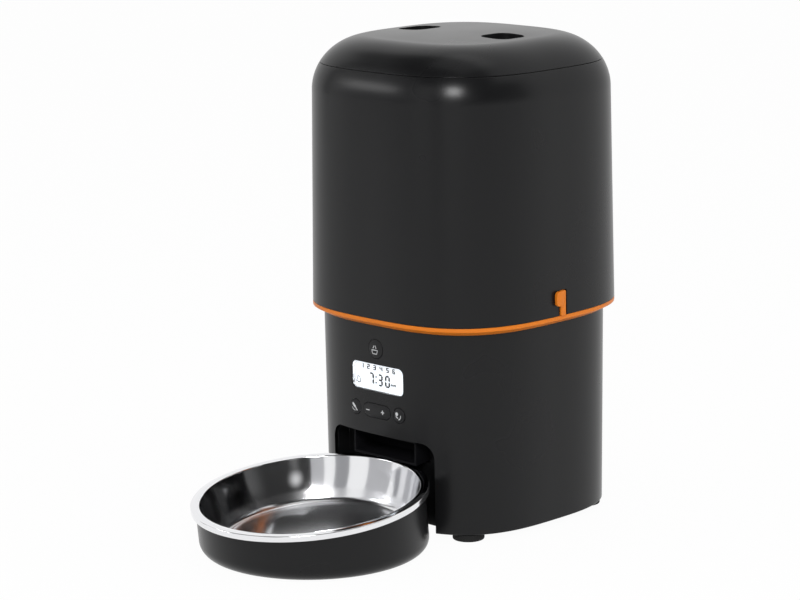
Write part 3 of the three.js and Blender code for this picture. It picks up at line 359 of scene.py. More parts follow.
charcoal = plastic("satin_charcoal", (0.0076, 0.0077, 0.0083), 0.28, 0.22, depth=0.01)
key_charcoal = plastic("key_charcoal", (0.0092, 0.0093, 0.0101), 0.4, 0.22, edge=0.0002)
inner_black = plastic("inner_black", (0.006, 0.006, 0.0065), 0.5, 0.2, edge=0.0003)
chute_black = plastic("chute_black", (0.005, 0.005, 0.006), 0.55, 0.06, edge=0)
latch_grey = plastic("latch_grey", (0.045, 0.045, 0.048), 0.45, 0.5)
orange = plastic("satin_orange", (0.7, 0.185, 0.01), 0.4, 0.25, edge=0.0003)
nylon = plastic("natural_nylon", (0.74, 0.71, 0.63), 0.5, 0.5, grain=600.0)
print("plastics: 7")

# %% [markdown]
# ## Steel, glass, rubber and the lit display
# The bowl is pressed from stainless sheet and polished like a mirror: it has almost no colour of
# its own and shows the room, a little bent by the waviness that pressing leaves. The zinc-plated
# drive parts are duller. The display glows evenly, so it gives light itself, and its lens is
# clear. The feet are matt rubber.

# %% Other finishes
def metal(name, colour, roughness, wave_scale, wave_depth):
    """A bare metal: full metalness, and a low wave in the surface from a broad noise."""
    material, tree, shader = new_finish(name)
    wave = noise(tree, wave_scale)
    bump = add(tree, "Bump", {"Strength": 0.5, "Distance": wave_depth * MM, "Height": wave})
    feed(tree, shader, {
        "Metallic": 1.0,
        "Roughness": spread(tree, wave, roughness * 0.8, roughness * 1.25),
        "Base Color": shades(tree, wave, colour, 0.97, 1.0),
        "Normal": bump.outputs["Normal"],
    })
    return material


def glowing(name, colour, strength):
    """An evenly lit face: it gives light of its own, with a faint mottle from the diffuser."""
    material, tree, shader = new_finish(name)
    feed(tree, shader, {
        "Roughness": 0.4,
        "Base Color": (0.5, 0.52, 0.54, 1),
        "Emission Strength": strength,
        "Emission Color": shades(tree, noise(tree, 60.0), colour, 0.96, 1.0),
    })
    return material


def clear_lens(name):
    """A clear moulded lens: light passes, with a glossy face and a faint haze."""
    material, tree, shader = new_finish(name)
    feed(tree, shader, {
        "Base Color": (0.96, 0.97, 0.98, 1),
        "IOR": 1.3,
        "Transmission Weight": 1.0,
        "Roughness": spread(tree, noise(tree, 40.0), 0.02, 0.06),
    })
    return material


steel = metal("mirror_steel", (0.84, 0.845, 0.86), 0.07, 22.0, 0.12)
zinc = metal("zinc_plate", (0.56, 0.57, 0.58), 0.3, 220.0, 0.03)
display_glow = glowing("display_glow", (0.90, 0.94, 0.98), 0.85)
lens = clear_lens("display_lens")
rubber = plastic("foot_rubber", (0.012, 0.012, 0.012), 0.8, 0.3, grain=500.0, depth=0.06)
silicone = plastic("grey_silicone", (0.42, 0.43, 0.44), 0.6, 0.4, grain=300.0)
board = plastic("board_green", (0.02, 0.12, 0.045), 0.35, 0.5, grain=250.0, depth=0.03)
print("other finishes: 7")

# %% [markdown]
# ## Sizes of the base
# The base leans out a little as it rises, which lets the moulding leave its tool. Its openings
# are listed in millimetres as they are seen from the front, or from above for those in the deck:
# a rectangle as left, bottom, right and top, and a round one as its middle and radius.

# %% Base sizes
base_low, base_high = box_mm("base_housing")
FOOT = base_low[2]
DECK = base_high[2]
BASE_TOP_HALF = base_high[0]
BASE_TAPER = 0.9
BASE_BOTTOM_HALF = BASE_TOP_HALF - BASE_TAPER
WALL = 2.5
GAP = 0.3


def base_half(z):
    """Half-width of the base at a height: a straight line between its foot and its deck."""
    return BASE_BOTTOM_HALF + BASE_TAPER * (z - FOOT) / (DECK - FOOT)


BAY_HALF = 46.7
BAY_TOP = 65.0
BAY_CORNER = 10.0
BAY_DEPTH = 19.3
BAY_BACK = BAY_DEPTH - BASE_TOP_HALF
DISPLAY = (-23.9, 94.0, 23.9, 112.4)
DISPLAY_CORNER = 4.0
FEED_KEY = (0.0, 122.9, 6.4)
RECORD_KEY = (-20.0, 81.0, 5.0)
CALL_KEY = (20.0, 81.0, 5.0)
ROCKER = (-12.2, 76.4, 12.2, 85.6)
ROCKER_CORNER = 4.6
KEY_GAP = 0.25
JACK = (0.0, 54.0, 4.2)
SPOUT = (-29.3, 47.2, 29.3, 64.3)
INLET = (-29.3, -48.3, 29.3, -13.7)
SHAFT = (0.0, 0.0, 9.0)
OVERRUN = 12.0
print("base from", FOOT.round(2), "to", DECK.round(2), "half-width", BASE_TOP_HALF.round(2))

# %% [markdown]
# ## The base casing
# The casing starts as a closed block with eased corners. The room inside is taken out from
# below, which leaves an even wall and a deck. Then come the bay, the window and the key holes
# through the front, the jack hole at the back, and the inlet and the shaft hole in the deck.

# %% Base casing
def bay_outline(grow):
    """Two straight sides and a flat crown, joined by quarter circles, open towards the floor."""
    side, top, radius = BAY_HALF + grow, BAY_TOP + grow, BAY_CORNER + grow
    outline = rounded_rectangle(-side, -top, side, top, radius, steps=16)
    return np.stack([outline[:, 0], np.maximum(outline[:, 1], -OVERRUN)], axis=-1)


def wider(rectangle, grow):
    """The rectangle with each side moved out."""
    left, bottom, right, top = rectangle
    return left - grow, bottom - grow, right + grow, top + grow


def base_inside(gap, bottom):
    """The room within the base's walls, less a gap."""
    top = DECK - WALL
    return carried("room", [
        [0, bottom], [base_half(bottom) - WALL - gap, bottom],
        [base_half(top) - WALL - gap, top], [0, top],
    ])


casing = carried("base_casing", eased([
    [0, FOOT], [BASE_BOTTOM_HALF, FOOT], [BASE_TOP_HALF, DECK], [0, DECK],
], [0, 1.0, 0.7, 0], closed=False))
front, behind = -BASE_TOP_HALF - OVERRUN, -BASE_TOP_HALF + OVERRUN
openings = [
    base_inside(0, FOOT - OVERRUN),
    prism("bay", bay_outline(0), front, BAY_BACK),
    prism("window", rounded_rectangle(*DISPLAY, DISPLAY_CORNER), front, behind),
    prism("rocker", rounded_rectangle(*wider(ROCKER, KEY_GAP), ROCKER_CORNER + KEY_GAP), front, behind),
]
for x, z, radius in (FEED_KEY, RECORD_KEY, CALL_KEY):
    openings.append(prism("key", circle(x, z, radius + KEY_GAP), front, behind))
openings.append(prism("jack", circle(*JACK), -behind, -front))
for name, outline in (("inlet", rounded_rectangle(*INLET, 0.5)), ("shaft", circle(*SHAFT))):
    openings.append(prism(name, outline, DECK - OVERRUN, DECK + OVERRUN, "z"))
combine(casing, openings, "DIFFERENCE")
dress(smooth(casing), "base_housing", "base", charcoal)
print("base casing faces:", len(casing.data.polygons))

# %% [markdown]
# ## The bay lining
# The bowl docks in a bay. Its walls are a separate lining behind the casing, shaped like a tunnel
# with a flat crown. The spout comes out of its back wall. The lining is cut from a grown copy of
# the bay's own outline, so that its wall is equally thick all round.

# %% Bay lining
lining = prism("bay_lining", bay_outline(WALL), front, BAY_BACK + WALL)
combine(lining, [base_inside(GAP, FOOT)], "INTERSECT")
combine(lining, [
    prism("bay", bay_outline(0), front, BAY_BACK),
    prism("spout", rounded_rectangle(*SPOUT, 0.4), BAY_BACK - OVERRUN, BAY_BACK + OVERRUN),
], "DIFFERENCE")
dress(smooth(lining), "bay_liner", "base", charcoal)
print("lining faces:", len(lining.data.polygons))

# %% [markdown]
# ## The collar
# A ring of orange plastic carries the tank. It flares out from the base to the tank's width and
# ends in a narrow upright band, which shows as a slightly brighter line. A thin lip inside it
# centres the tank.

# %% Collar
ring_low, ring_high = box_mm("collar_ring")
TANK_FOOT_HALF = 90.0
TANK_FOOT = 144.8
ring_foot = ring_low[2]
ring = carried("collar", eased([
    [76.3, ring_foot], [83.5, ring_foot], [83.5, ring_foot - 0.9], [84.3, ring_foot - 0.9],
    [90, 142.1], [90, 144.6], [87.2, 144.6], [87.2, 148.5], [85.2, 148.5], [85.2, 144.6],
    [76.3, 144.6],
], [0.3, 0, 0.1, 0.3, 0.4, 0.12, 0, 0.4, 0.4, 0, 0.3], hold=0.1), closed=True)
dress(smooth(ring), "collar_ring", "base", orange)
print("collar from", ring_low[2].round(2), "to", ring_high[2].round(2))

# %% [markdown]
# ## The tank
# The tank rises almost straight and rolls over into a dome. The dome's edge is a quarter of an
# ellipse, and the lid is the upper part of the same surface, so one function gives both. The two
# slots near the foot let the release tabs stand out.

# %% Tank casing
DOME_FOOT = 286.0
DOME_FOOT_HALF = 88.0
DOME_REACH = 34.0
DOME_RISE = 36.0
SEAM = 304.6
DOME_TOP = DOME_FOOT + DOME_RISE
CROWN_HALF = DOME_FOOT_HALF - DOME_REACH
TAB_SLOT = (-3.7, 130, 3.4, 161.7)


def dome(angles, inset):
    """Quarter ellipse: radius 54 + (34 - inset) cos t and height 286 + (36 - inset) sin t."""
    radius = CROWN_HALF + (DOME_REACH - inset) * np.cos(angles)
    return np.stack([radius, DOME_FOOT + (DOME_RISE - inset) * np.sin(angles)], axis=-1)


def dome_angle(z, inset=0.0):
    """The ellipse's angle at a height: the arc sine of (z - foot) / (rise - inset)."""
    return math.asin((z - DOME_FOOT) / (DOME_RISE - inset))


outer_dome = dome(np.linspace(0, dome_angle(SEAM - 0.5), 18), 0)
seam_outside, seam_inside = (dome(dome_angle(SEAM), inset)[0] for inset in (0, WALL))
lip = eased([outer_dome[-1], [seam_outside, SEAM], [seam_inside, SEAM]], [0, 0.2, 0],
            closed=False, hold=0.05)[1:]
inner_dome = dome(np.linspace(dome_angle(SEAM - 0.2, WALL), 0, 12), WALL)
foot_edge = eased([[TANK_FOOT_HALF - WALL, TANK_FOOT], [TANK_FOOT_HALF, TANK_FOOT],
                   [DOME_FOOT_HALF, DOME_FOOT]], [0, 0.35, 0], closed=False)[:-1]
hood = carried("tank_casing", np.vstack([foot_edge, outer_dome, lip, inner_dome]), closed=True)
slots = []
for side in (-1, 1):
    near, far = TANK_FOOT_HALF - WALL - 10, TANK_FOOT_HALF + 10
    slots.append(side_prism("slot", rounded_rectangle(*TAB_SLOT, 1.2), side, near, far))
combine(hood, slots, "DIFFERENCE")
dress(smooth(hood), "tank_hood", "tank", charcoal)
print("tank casing faces:", len(hood.data.polygons))

# %% [markdown]
# ## The lid and its finger wells
# The lid ends the dome in a crown that is almost flat. Two wells let a finger and a thumb press
# the latches towards each other. A well is a pocket with its own floor and walls, so a block with
# round corners is first joined to the shell from below, and the pocket is then cut into it.

# %% Lid
CROWN_RISE = 1.5
WELL_FLOOR = DOME_TOP - 12.5
WELL_MIDDLE = 37.9
WELL_HALF_X = 11.7
WELL_HALF_Y = 13.2
WELL_ROUND = 8.5
BLOCK_WALL = 1.8
ABOVE = DOME_TOP + 10
LID_FOOT = SEAM + GAP


def crown(radius):
    """The nearly flat top: height falls with the square of the distance from the middle."""
    return np.stack([radius, DOME_TOP + CROWN_RISE * (1 - (radius / CROWN_HALF) ** 2)], axis=-1)


def well_outline(side, grow):
    """The well's rounded rectangle, seen from above, on the +X or -X side."""
    middle = side * WELL_MIDDLE
    return rounded_rectangle(middle - WELL_HALF_X - grow, -WELL_HALF_Y - grow,
                             middle + WELL_HALF_X + grow, WELL_HALF_Y + grow, WELL_ROUND + grow)


over = dome(np.linspace(dome_angle(LID_FOOT + 0.5), math.pi / 2, 36), 0)
edge_radius = dome(dome_angle(LID_FOOT), 0)[0]
under = dome(np.linspace(math.pi / 2, dome_angle(LID_FOOT, WALL), 20), WALL)
rim = eased([[under[-1][0], LID_FOOT], [edge_radius, LID_FOOT], over[0]], [0, 0.2, 0],
            closed=False, hold=0.05)[:-1]
top = crown(np.linspace(CROWN_HALF, 0, 10)[1:])
shell = carried("lid_shell", np.vstack([rim, over, top, [[0, DOME_TOP - WALL]], under]))
full = carried("full_dome", np.vstack([[[0, LID_FOOT]], rim[1:], over, top]))
blocks, pockets = [], []
for side in (-1, 1):
    block = prism("well_block", well_outline(side, BLOCK_WALL), WELL_FLOOR - BLOCK_WALL, ABOVE, "z")
    blocks.append(combine(block, [new_object("dome_copy", full.data.copy())], "INTERSECT"))
    pockets.append(prism("pocket", well_outline(side, 0), WELL_FLOOR, ABOVE, "z"))
    way = rounded_rectangle(-5.8, WELL_FLOOR, 5.8, WELL_FLOOR + 5.1, 0.3)
    pockets.append(side_prism("latch_way", way, side, 14.4, 28.0))
bpy.data.objects.remove(full)
combine(shell, blocks, "UNION")
combine(shell, pockets, "DIFFERENCE")
dress(smooth(shell), "lid_cover", "lid", charcoal)
print("lid faces:", len(shell.data.polygons))

# %% [markdown]
# ## The steel bowl
# The bowl is pressed from sheet with a broad flat rim. Its profile runs up the outside, over the rim
# and down the inside. It is turned about its own axis, and then tilted by a few degrees towards
# the animal, because it rests on the tray's sloping edge. The floor and the foot of the wall are
# a little duller than the rest, because a polishing wheel hardly reaches them.

# %% Bowl
TILT = math.radians(5.9)
SHEET = 0.8
DEPTH = 29.0
RIM_RADIUS = 77.4
RIM_CLEARANCE = 3.6
BOWL_Y = BAY_BACK - RIM_CLEARANCE - RIM_RADIUS
RIM_Z = 39.06
FINE_STEPS = 256
BOWL_AXIS = np.array([0.0, -math.sin(TILT), math.cos(TILT)])
SATIN_RISE = (6.78, 9.28)
SATIN_GLOSS = (0.19, 0.1)


def tilted(points):
    """Turns points about X by the tilt, and moves them to the bowl's place."""
    c, s = math.cos(TILT), math.sin(TILT)
    x, y, z = points.T
    return np.stack([x, BOWL_Y + c * y - s * z, RIM_Z + s * y + c * z], axis=-1)


def turned(name, profile, place, steps):
    """Rows of [radius, height] turned about an upright axis, then put in place."""
    points = round_the_axis(np.asarray(profile, float), np.ones(steps))
    return new_piece(name, place(points.reshape(-1, 3)), grid_faces(len(profile), steps, False, True))


def satin_floor(material, low, high):
    """Roughness by height along the bowl's own axis: dull below low, bright above high."""
    tree = material.node_tree
    place = add(tree, "TexCoord", {})
    height = add(tree, "VectorMath", {0: place.outputs["Object"], 1: BOWL_AXIS})
    height.operation = "DOT_PRODUCT"
    gloss = spread(tree, height.outputs["Value"], *SATIN_GLOSS, low, high)
    feed(tree, tree.nodes["Principled BSDF"], {"Roughness": gloss})


outside_wall = [[0, -DEPTH - SHEET], [60.7, -DEPTH - SHEET], [68.3, -14.8], [71.1, -4.6]]
rim_edge = [[RIM_RADIUS, -4.6], [RIM_RADIUS, -0.7], [74.4, -0.1]]
inside_wall = [[71.6, -0.7], [67.4, -14.4], [60.2, -DEPTH], [0, -DEPTH]]
roundings = [0, 5.0, 60, 0.3, 0.7, 0.55, 0.8, 0.7, 60, 3.8, 0]
bowl_profile = eased(outside_wall + rim_edge + inside_wall, roundings, closed=False, steps=10, hold=0.1)
bowl = turned("steel_bowl_polished", bowl_profile, tilted, FINE_STEPS)
floor_height = in_frame(tilted(np.array([[0.0, 0.0, -DEPTH]])))[0] @ BOWL_AXIS
satin_floor(steel, *(floor_height + rise * MM for rise in SATIN_RISE))
dress(smooth(bowl, 40), "steel_bowl", "bowl", steel)
print("bowl faces:", len(bowl.data.polygons))

# %% [markdown]
# ## The tray
# The tray leans with the bowl, so each level section is a circle that moves back as it goes down.
# Its top edge lies in the bowl's tilted plane. The height of that edge is worked out at every
# angle, and each column of the grid is stretched to meet it. A flat tongue at its back reaches
# to the wall of the bay.

# %% Tray
TRAY_RADIUS = 74.5
TRAY_WALL = 1.5
TRAY_FLOOR = 2.5
TRAY_CORNER = 9.0
RIM_DROP = 4.9
EDGE_START = 11.0
EDGE_EASE = 0.4
TONGUE = (-12, 5, 12, 11)


def tray_points(profile, stretch):
    """Columns of a leaned cup: rows above the corner are stretched to the tilted top edge.
    Top height: (rim - drop / cos + tan^2 rim + tan r sin a) / (1 + tan^2), from the bowl's plane."""
    slope = math.tan(TILT)
    angle = np.linspace(0, 2 * math.pi, FINE_STEPS, endpoint=False)
    radius = profile[:, :1] * np.ones(FINE_STEPS)
    edge = (RIM_Z - RIM_DROP / math.cos(TILT) + slope ** 2 * RIM_Z
            + slope * radius * np.sin(angle)) / (1 + slope ** 2)
    share = stretch[:, None]
    z = profile[:, 1:] * (1 - share) + edge * share
    y = BOWL_Y + (RIM_Z - z) * slope + radius * np.sin(angle)
    return np.stack([radius * np.cos(angle), y, z], axis=-1)


quarter_turn = np.linspace(-math.pi / 2, 0, 12)
outside = arc(TRAY_RADIUS - TRAY_CORNER, TRAY_CORNER, TRAY_CORNER, quarter_turn)
inner_corner = TRAY_CORNER - TRAY_WALL
inside = arc(TRAY_RADIUS - TRAY_CORNER, TRAY_FLOOR + inner_corner, inner_corner, quarter_turn[::-1])
outer, inner = TRAY_RADIUS, TRAY_RADIUS - TRAY_WALL
top_edge = [[r, EDGE_START] for r in (outer, outer, outer - EDGE_EASE, inner + EDGE_EASE, inner, inner)]
cup = np.vstack([[[0, 0]], outside, top_edge, inside, [[0, TRAY_FLOOR]]])
stretch = np.array([0.0] * 13 + [0.1, 0.985, 1, 1, 0.985, 0.1] + [0.0] * 13)
tray = new_piece("tray_shell", tray_points(cup, stretch).reshape(-1, 3),
                 grid_faces(len(cup), FINE_STEPS, False, True))
tongue = prism("tongue", rounded_rectangle(*TONGUE, 0.6), -72.0, BAY_BACK - GAP)
combine(tray, [tongue], "UNION")
dress(smooth(tray), "bowl_tray", "tray", charcoal)
print("tray faces:", len(tray.data.polygons))

# %% [markdown]
# ## Rubber feet
# Four round feet carry the base. Each is turned from a profile with an eased lower edge and a peg
# that plugs into the bottom cover. Their places come from the solids.

# %% Feet
CORNERS = ("front_left", "back_left", "front_right", "back_right")
FOOT_RADIUS = 10.5
PEG_RADIUS = 3.0
for corner_name in CORNERS:
    node = "foot_" + corner_name
    low, high = box_mm(node)
    middle = (low + high) / 2
    seat = FOOT - GAP
    profile = eased([[0, 0], [FOOT_RADIUS, 0], [FOOT_RADIUS, seat], [PEG_RADIUS, seat],
                     [PEG_RADIUS, high[2]], [0, high[2]]],
                    [0, 1.2, 0.5, 0, 0.4, 0], closed=False, hold=0.2)
    foot = turned(node + "_pad", profile, lambda points: points + [middle[0], middle[1], 0], 96)
    dress(smooth(foot), node, "base", rubber)
print("feet:", len(CORNERS))

# %% [markdown]
# ## Release tabs
# Each tab is a flat thumb piece with round corners on a stem that rises from the collar. Pushing
# both back lets the tank go. The edges are eased with a small bevel, as a thumb rests here.

# %% Release tabs
TAB_STEM = (-3.4, 144.8, 1.1, 161.4)
TAB_THUMB = (-8.6, 151.6, -2.2, 161.4)
STEM_REACH = (87.8, 91.1)
THUMB_REACH = (90.3, 92.3)


def softened(piece, width, segments=3):
    """Rounds the piece's edges that turn by more than 30 degrees, and keeps the result."""
    edge = piece.modifiers.new("edge", "BEVEL")
    edge.width = width * MM
    edge.segments = segments
    edge.limit_method = "ANGLE"
    edge.angle_limit = math.radians(30)
    return bake(piece)


for side, word in ((1, "right"), (-1, "left")):
    stem = side_prism("tab_stem_" + word, rounded_rectangle(*TAB_STEM, 1.0), side, *STEM_REACH)
    thumb = side_prism("tab_thumb", rounded_rectangle(*TAB_THUMB, 2.6), side, *THUMB_REACH)
    tab = softened(combine(stem, [thumb], "UNION"), 0.35)
    dress(smooth(tab), "release_tab_" + word, "release_tab_" + word, orange)
print("release tabs: 2")

# %% [markdown]
# ## Solids that keep their shape
# Everything else is drawn well enough by its solid: the chute, the latches, the drive train and
# the parts under the base. A copy of the solid is merged and gets a small bevel, so that its edges
# catch light as moulded and machined edges do, and takes its place.

# %% Carried-over solids
def carried_over(node, body, material, width):
    """A merged copy of a solid's own mesh with eased edges, in the solid's place."""
    piece = new_object(node + "_finished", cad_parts[node].data.copy())
    merge_points(piece.data, join_flat=True)
    if width:
        softened(piece, width, 2)
    return dress(smooth(piece), node, body, material)


kept_solids = {
    (chute_black, "inner_black"): [("food_chute", "base", 0.25)],
    (latch_grey, "latch_grey"): [
        ("lid_latch_right", "lid_latch_right", 0.8), ("lid_latch_left", "lid_latch_left", 0.8),
    ],
    (inner_black, "inner_black"): [
        ("hopper_funnel", "tank", 0), ("food_baffle", "tank", 0.2), ("gearbox_case", "base", 0.3),
        ("gearbox_cover", "base", 0.3), ("lid_inner_plate", "lid", 0), ("desiccant_cup", "lid", 0.2),
        ("desiccant_cap", "desiccant_cap", 0.2), ("battery_box", "base", 0.3), ("speaker", "base", 0),
        ("power_jack", "base", 0.2),
    ],
    (nylon, "nylon_white"): [
        ("rotor_wheel", "rotor", 0.3), ("rotor_cone", "rotor", 0), ("drive_gear", "drive", 0),
    ],
    (zinc, "zinc_steel"): [
        ("drive_shaft", "drive", 0.3), ("motor_pinion", "pinion", 0), ("gear_motor", "base", 0.3),
        ("battery_contact_right", "base", 0.1), ("battery_contact_left", "base", 0.1),
        *[("cover_screw_" + corner_name, "base", 0.2) for corner_name in CORNERS],
    ],
    (silicone, "silicone_grey"): [("lid_gasket", "lid", 0.3), ("key_mat", "base", 0)],
    (board, "board_green"): [("control_board", "base", 0)],
    (charcoal, "charcoal_shell"): [
        ("bottom_cover", "base", 0), ("battery_door", "battery_door", 0.3),
    ],
}
for (material, slot), rows in kept_solids.items():
    for node, body, width in rows:
        carried_over(node, body, material, width)
print("solids that keep their shape:", sum(len(rows) for rows in kept_solids.values()))

# %% [markdown]
# ## The drying pouch
# A round pouch of non-woven lies in the lid's cup. Its two faces crown towards the middle and
# meet in a flat crimped seam, so its thickness follows a rounded curve that falls to the seam.

# %% Drying pouch
fleece = plastic("pouch_fleece", (0.8, 0.79, 0.75), 0.9, 0.2, grain=1800.0, depth=0.15, edge=0)
COLUMNS = 96
SEAM_START = 0.9
SEAM_HALF = 0.15
FOLDS = 24
FOLD_DEPTH = 0.012
low, high = box_mm("desiccant_bag")
pouch_radius = (high[0] - low[0]) / 2 - 0.2
pouch_middle = (low[2] + high[2]) / 2
rows = np.linspace(0, 1, 24)
angle = np.linspace(0, 2 * math.pi, COLUMNS, endpoint=False)
half_height = (high[2] - low[2]) / 2 * 0.9
crowned = np.sqrt(np.clip(1 - (rows / SEAM_START) ** 3, 0, 1)) * half_height + SEAM_HALF
folds = 1 + FOLD_DEPTH * np.sin(FOLDS * angle) * rows[:, None] ** 2
upper = round_the_axis(np.stack([rows * pouch_radius, crowned], axis=-1), folds)
grid = np.vstack([upper, (upper * [1, 1, -1])[::-1]]) + [0, 0, pouch_middle]
pouch = new_piece("drying_pouch", grid.reshape(-1, 3), grid_faces(len(grid), COLUMNS, False, True))
dress(smooth(pouch, 60), "desiccant_bag", "lid", fleece)
print("pouch thickness:", (2 * crowned[0]).round(2), "mm")

# %% [markdown]
# ## The display
# A white back-lit panel stands behind a clear lens that is sunk a little into the front. The
# lens has a wider flange behind the wall, which holds it in the window.

# %% Display lens and panel
FLANGE = 2.2
window_low, window_high = box_mm("display_window")
lcd_low, lcd_high = box_mm("lcd_panel")
lens_outline = rounded_rectangle(*wider(DISPLAY, -KEY_GAP), DISPLAY_CORNER - KEY_GAP)
flange_outline = rounded_rectangle(*wider(DISPLAY, FLANGE), DISPLAY_CORNER + FLANGE)
pane = prism("display_lens", lens_outline, window_low[1], window_high[1] - 0.5)
combine(pane, [prism("lens_flange", flange_outline, window_high[1] - 1, window_high[1])], "UNION")
dress(smooth(pane), "display_window", "base", lens)
panel = prism("display_panel", flange_outline, lcd_low[1], lcd_high[1])
dress(smooth(panel), "lcd_panel", "base", display_glow)
print("display panel face at y", lcd_low[1].round(2))

# %% [markdown]
# ## Digits and small marks
# The time is drawn in seven-segment digits: each segment is a flat six-sided bar, and a digit is
# the bars that its number lights. Smaller figures above it name the six meals of the day. All
# marks stand on the panel's face, behind the lens. The bell is unlit, so it is only faintly seen.

# %% Segment digits
ink = plastic("segment_ink", (0.012, 0.012, 0.014), 0.7, 0.1, edge=0)
faint_ink = plastic("faint_ink", (0.24, 0.24, 0.25), 0.7, 0.1, edge=0)
SEGMENTS = {"0": "abcdef", "1": "bc", "2": "abdeg", "3": "abcdg", "4": "bcfg", "5": "acdfg",
            "6": "acdefg", "7": "abc"}
INK_FACE = lcd_low[1] - 0.12
INK_BACK = lcd_low[1] + 0.1
UPRIGHT_SHARE = 1.25


def bar(start, end, width):
    """A six-sided bar between two points: its long edges lie half a width to each side."""
    start, end = np.array(start, float), np.array(end, float)
    along = (end - start) / np.linalg.norm(end - start)
    across = np.array([-along[1], along[0]]) * width / 2
    nib = along * width / 2
    return np.array([start, start + nib + across, end - nib + across, end,
                     end - nib - across, start + nib - across])


def digit_bars(number, left, bottom, width, height, thick, gap):
    """The lit bars of one digit in a box: the gap cuts them back, or runs them on if negative."""
    x0, x1 = left + thick / 2, left + width - thick / 2
    z0, z1, z2 = bottom + thick / 2, bottom + height / 2, bottom + height - thick / 2
    ends = {
        "a": ((x0 + gap, z2), (x1 - gap, z2)), "g": ((x0 + gap, z1), (x1 - gap, z1)),
        "d": ((x0 + gap, z0), (x1 - gap, z0)), "f": ((x0, z1 + gap), (x0, z2 - gap)),
        "b": ((x1, z1 + gap), (x1, z2 - gap)), "e": ((x0, z0 + gap), (x0, z1 - gap)),
        "c": ((x1, z0 + gap), (x1, z1 - gap)),
    }
    return [bar(*ends[letter], thick * (UPRIGHT_SHARE if letter in "bcef" else 1))
            for letter in SEGMENTS[number]]


def printed(name, outlines, face, back, body, material):
    """Flat outlines as one thin printed layer that stands just proud of what carries it."""
    points, faces = [], []
    for outline in outlines:
        mark = prism("mark", outline, face, back)
        start = len(points)
        faces += [[start + index for index in side.vertices] for side in mark.data.polygons]
        points += [vertex.co[:] for vertex in mark.data.vertices]
        bpy.data.objects.remove(mark)
    mesh = bpy.data.meshes.new(name)
    mesh.from_pydata(points, [], faces)
    return dress(new_object(name, mesh), None, body, material)


TIME = (("7", -8.6), ("3", -0.4), ("0", 6.3))
TIME_BOTTOM, TIME_WIDTH, TIME_HEIGHT = 96.9, 4.4, 8.2
COLON_X, COLON_HEIGHTS = -4.3, (98.9, 102.7)
ROW_MIDDLES = (-17.2, -11.4, -5.6, 0.4, 6.5, 12.3)
ROW_BOTTOM, ROW_WIDTH, ROW_HEIGHT = 107.1, 2.5, 3.3
MORNING = [((9.6, 98.5), (10.4, 100.1)), ((11.2, 98.5), (10.4, 100.1)), ((12.1, 98.5), (12.1, 100.1)),
           ((12.1, 100.1), (12.9, 99.1)), ((12.9, 99.1), (13.7, 100.1)), ((13.7, 100.1), (13.7, 98.5))]
BELL = np.array([[-22.9, 97.3], [-22.2, 98.4], [-21.9, 100.1], [-21.1, 101.2], [-20.3, 101.2],
                 [-19.5, 100.1], [-19.2, 98.4], [-18.5, 97.3]])
marks = []
for number, middle in TIME:
    marks += digit_bars(number, middle - TIME_WIDTH / 2, TIME_BOTTOM, TIME_WIDTH, TIME_HEIGHT, 1.15, 0.1)
marks += [circle(COLON_X, height, 0.6, 16) for height in COLON_HEIGHTS]
for order, middle in enumerate(ROW_MIDDLES):
    left = middle - ROW_WIDTH / 2
    marks += digit_bars(str(order + 1), left, ROW_BOTTOM, ROW_WIDTH, ROW_HEIGHT, 0.62, -0.25)
marks += [bar(start, end, 0.6) for start, end in MORNING]
printed("display_digits", marks, INK_FACE, INK_BACK, "base", ink)
rim_of_bell = [bar(start, end, 0.45) for start, end in zip(BELL, np.roll(BELL, -1, axis=0))]
bell_marks = [*rim_of_bell, circle(-20.7, 96.8, 0.5, 12)]
printed("display_bell", bell_marks, INK_FACE, INK_BACK, "base", faint_ink)
print("display marks:", len(marks))

# %% [markdown]
# ## Key caps
# Each key is a cap with an eased rim on a wider foot behind the panel, so that it can't fall out
# of its hole. Three of them are round, and the rocker is a pill that tips to either side.

# %% Key caps
def cap(node, outline_cap, outline_foot):
    """The cap is carried from the solid's face to its foot, and the foot is joined behind it."""
    low, high = box_mm(node)
    key = prism(node.replace("_rocker", "") + "_cap", outline_cap, low[1], high[1] - 0.3)
    combine(key, [prism("foot", outline_foot, high[1] - 0.8, high[1])], "UNION")
    dress(smooth(softened(key, 0.3)), node, node, key_charcoal)
    return low[1]


KEY_FLANGE = 1.3
ROCKER_FLANGE = 0.65
faces_at = {}
for node, (x, z, radius) in (("feed_key", FEED_KEY), ("record_key", RECORD_KEY), ("call_key", CALL_KEY)):
    faces_at[node] = cap(node, circle(x, z, radius), circle(x, z, radius + KEY_FLANGE))
faces_at["minus_plus_rocker"] = cap(
    "minus_plus_rocker", rounded_rectangle(*ROCKER, ROCKER_CORNER),
    rounded_rectangle(*wider(ROCKER, ROCKER_FLANGE), ROCKER_CORNER + ROCKER_FLANGE))
print("key faces at y", {key: float(value.round(2)) for key, value in faces_at.items()})

# %% [markdown]
# ## Signs on the keys
# The signs are printed in white, from bars with round ends, discs and parts of rings: a steaming
# dish for a meal by hand, a slanting stroke over an arc for recording a call, a disc with a bar
# and an arc for playing it, and a minus and a plus.

# %% Key signs
white_print = plastic("white_print", (0.62, 0.63, 0.64), 0.5, 0.3, edge=0)
PRINT_THICKNESS = 0.03
FEED_SIGN = (-0.9, 122.0)
RECORD_SIGN = (-21.0, 80.7)
CALL_SIGN = (19.2, 80.8)


def rod(start, end, width, steps=8):
    """A bar with round ends: two half circles joined by straight sides."""
    start, end = np.array(start, float), np.array(end, float)
    heading = math.atan2(*(end - start)[::-1])
    turn = heading + np.linspace(-math.pi / 2, math.pi / 2, steps)
    return np.vstack([arc(*end, width / 2, turn), arc(*start, -width / 2, turn)])


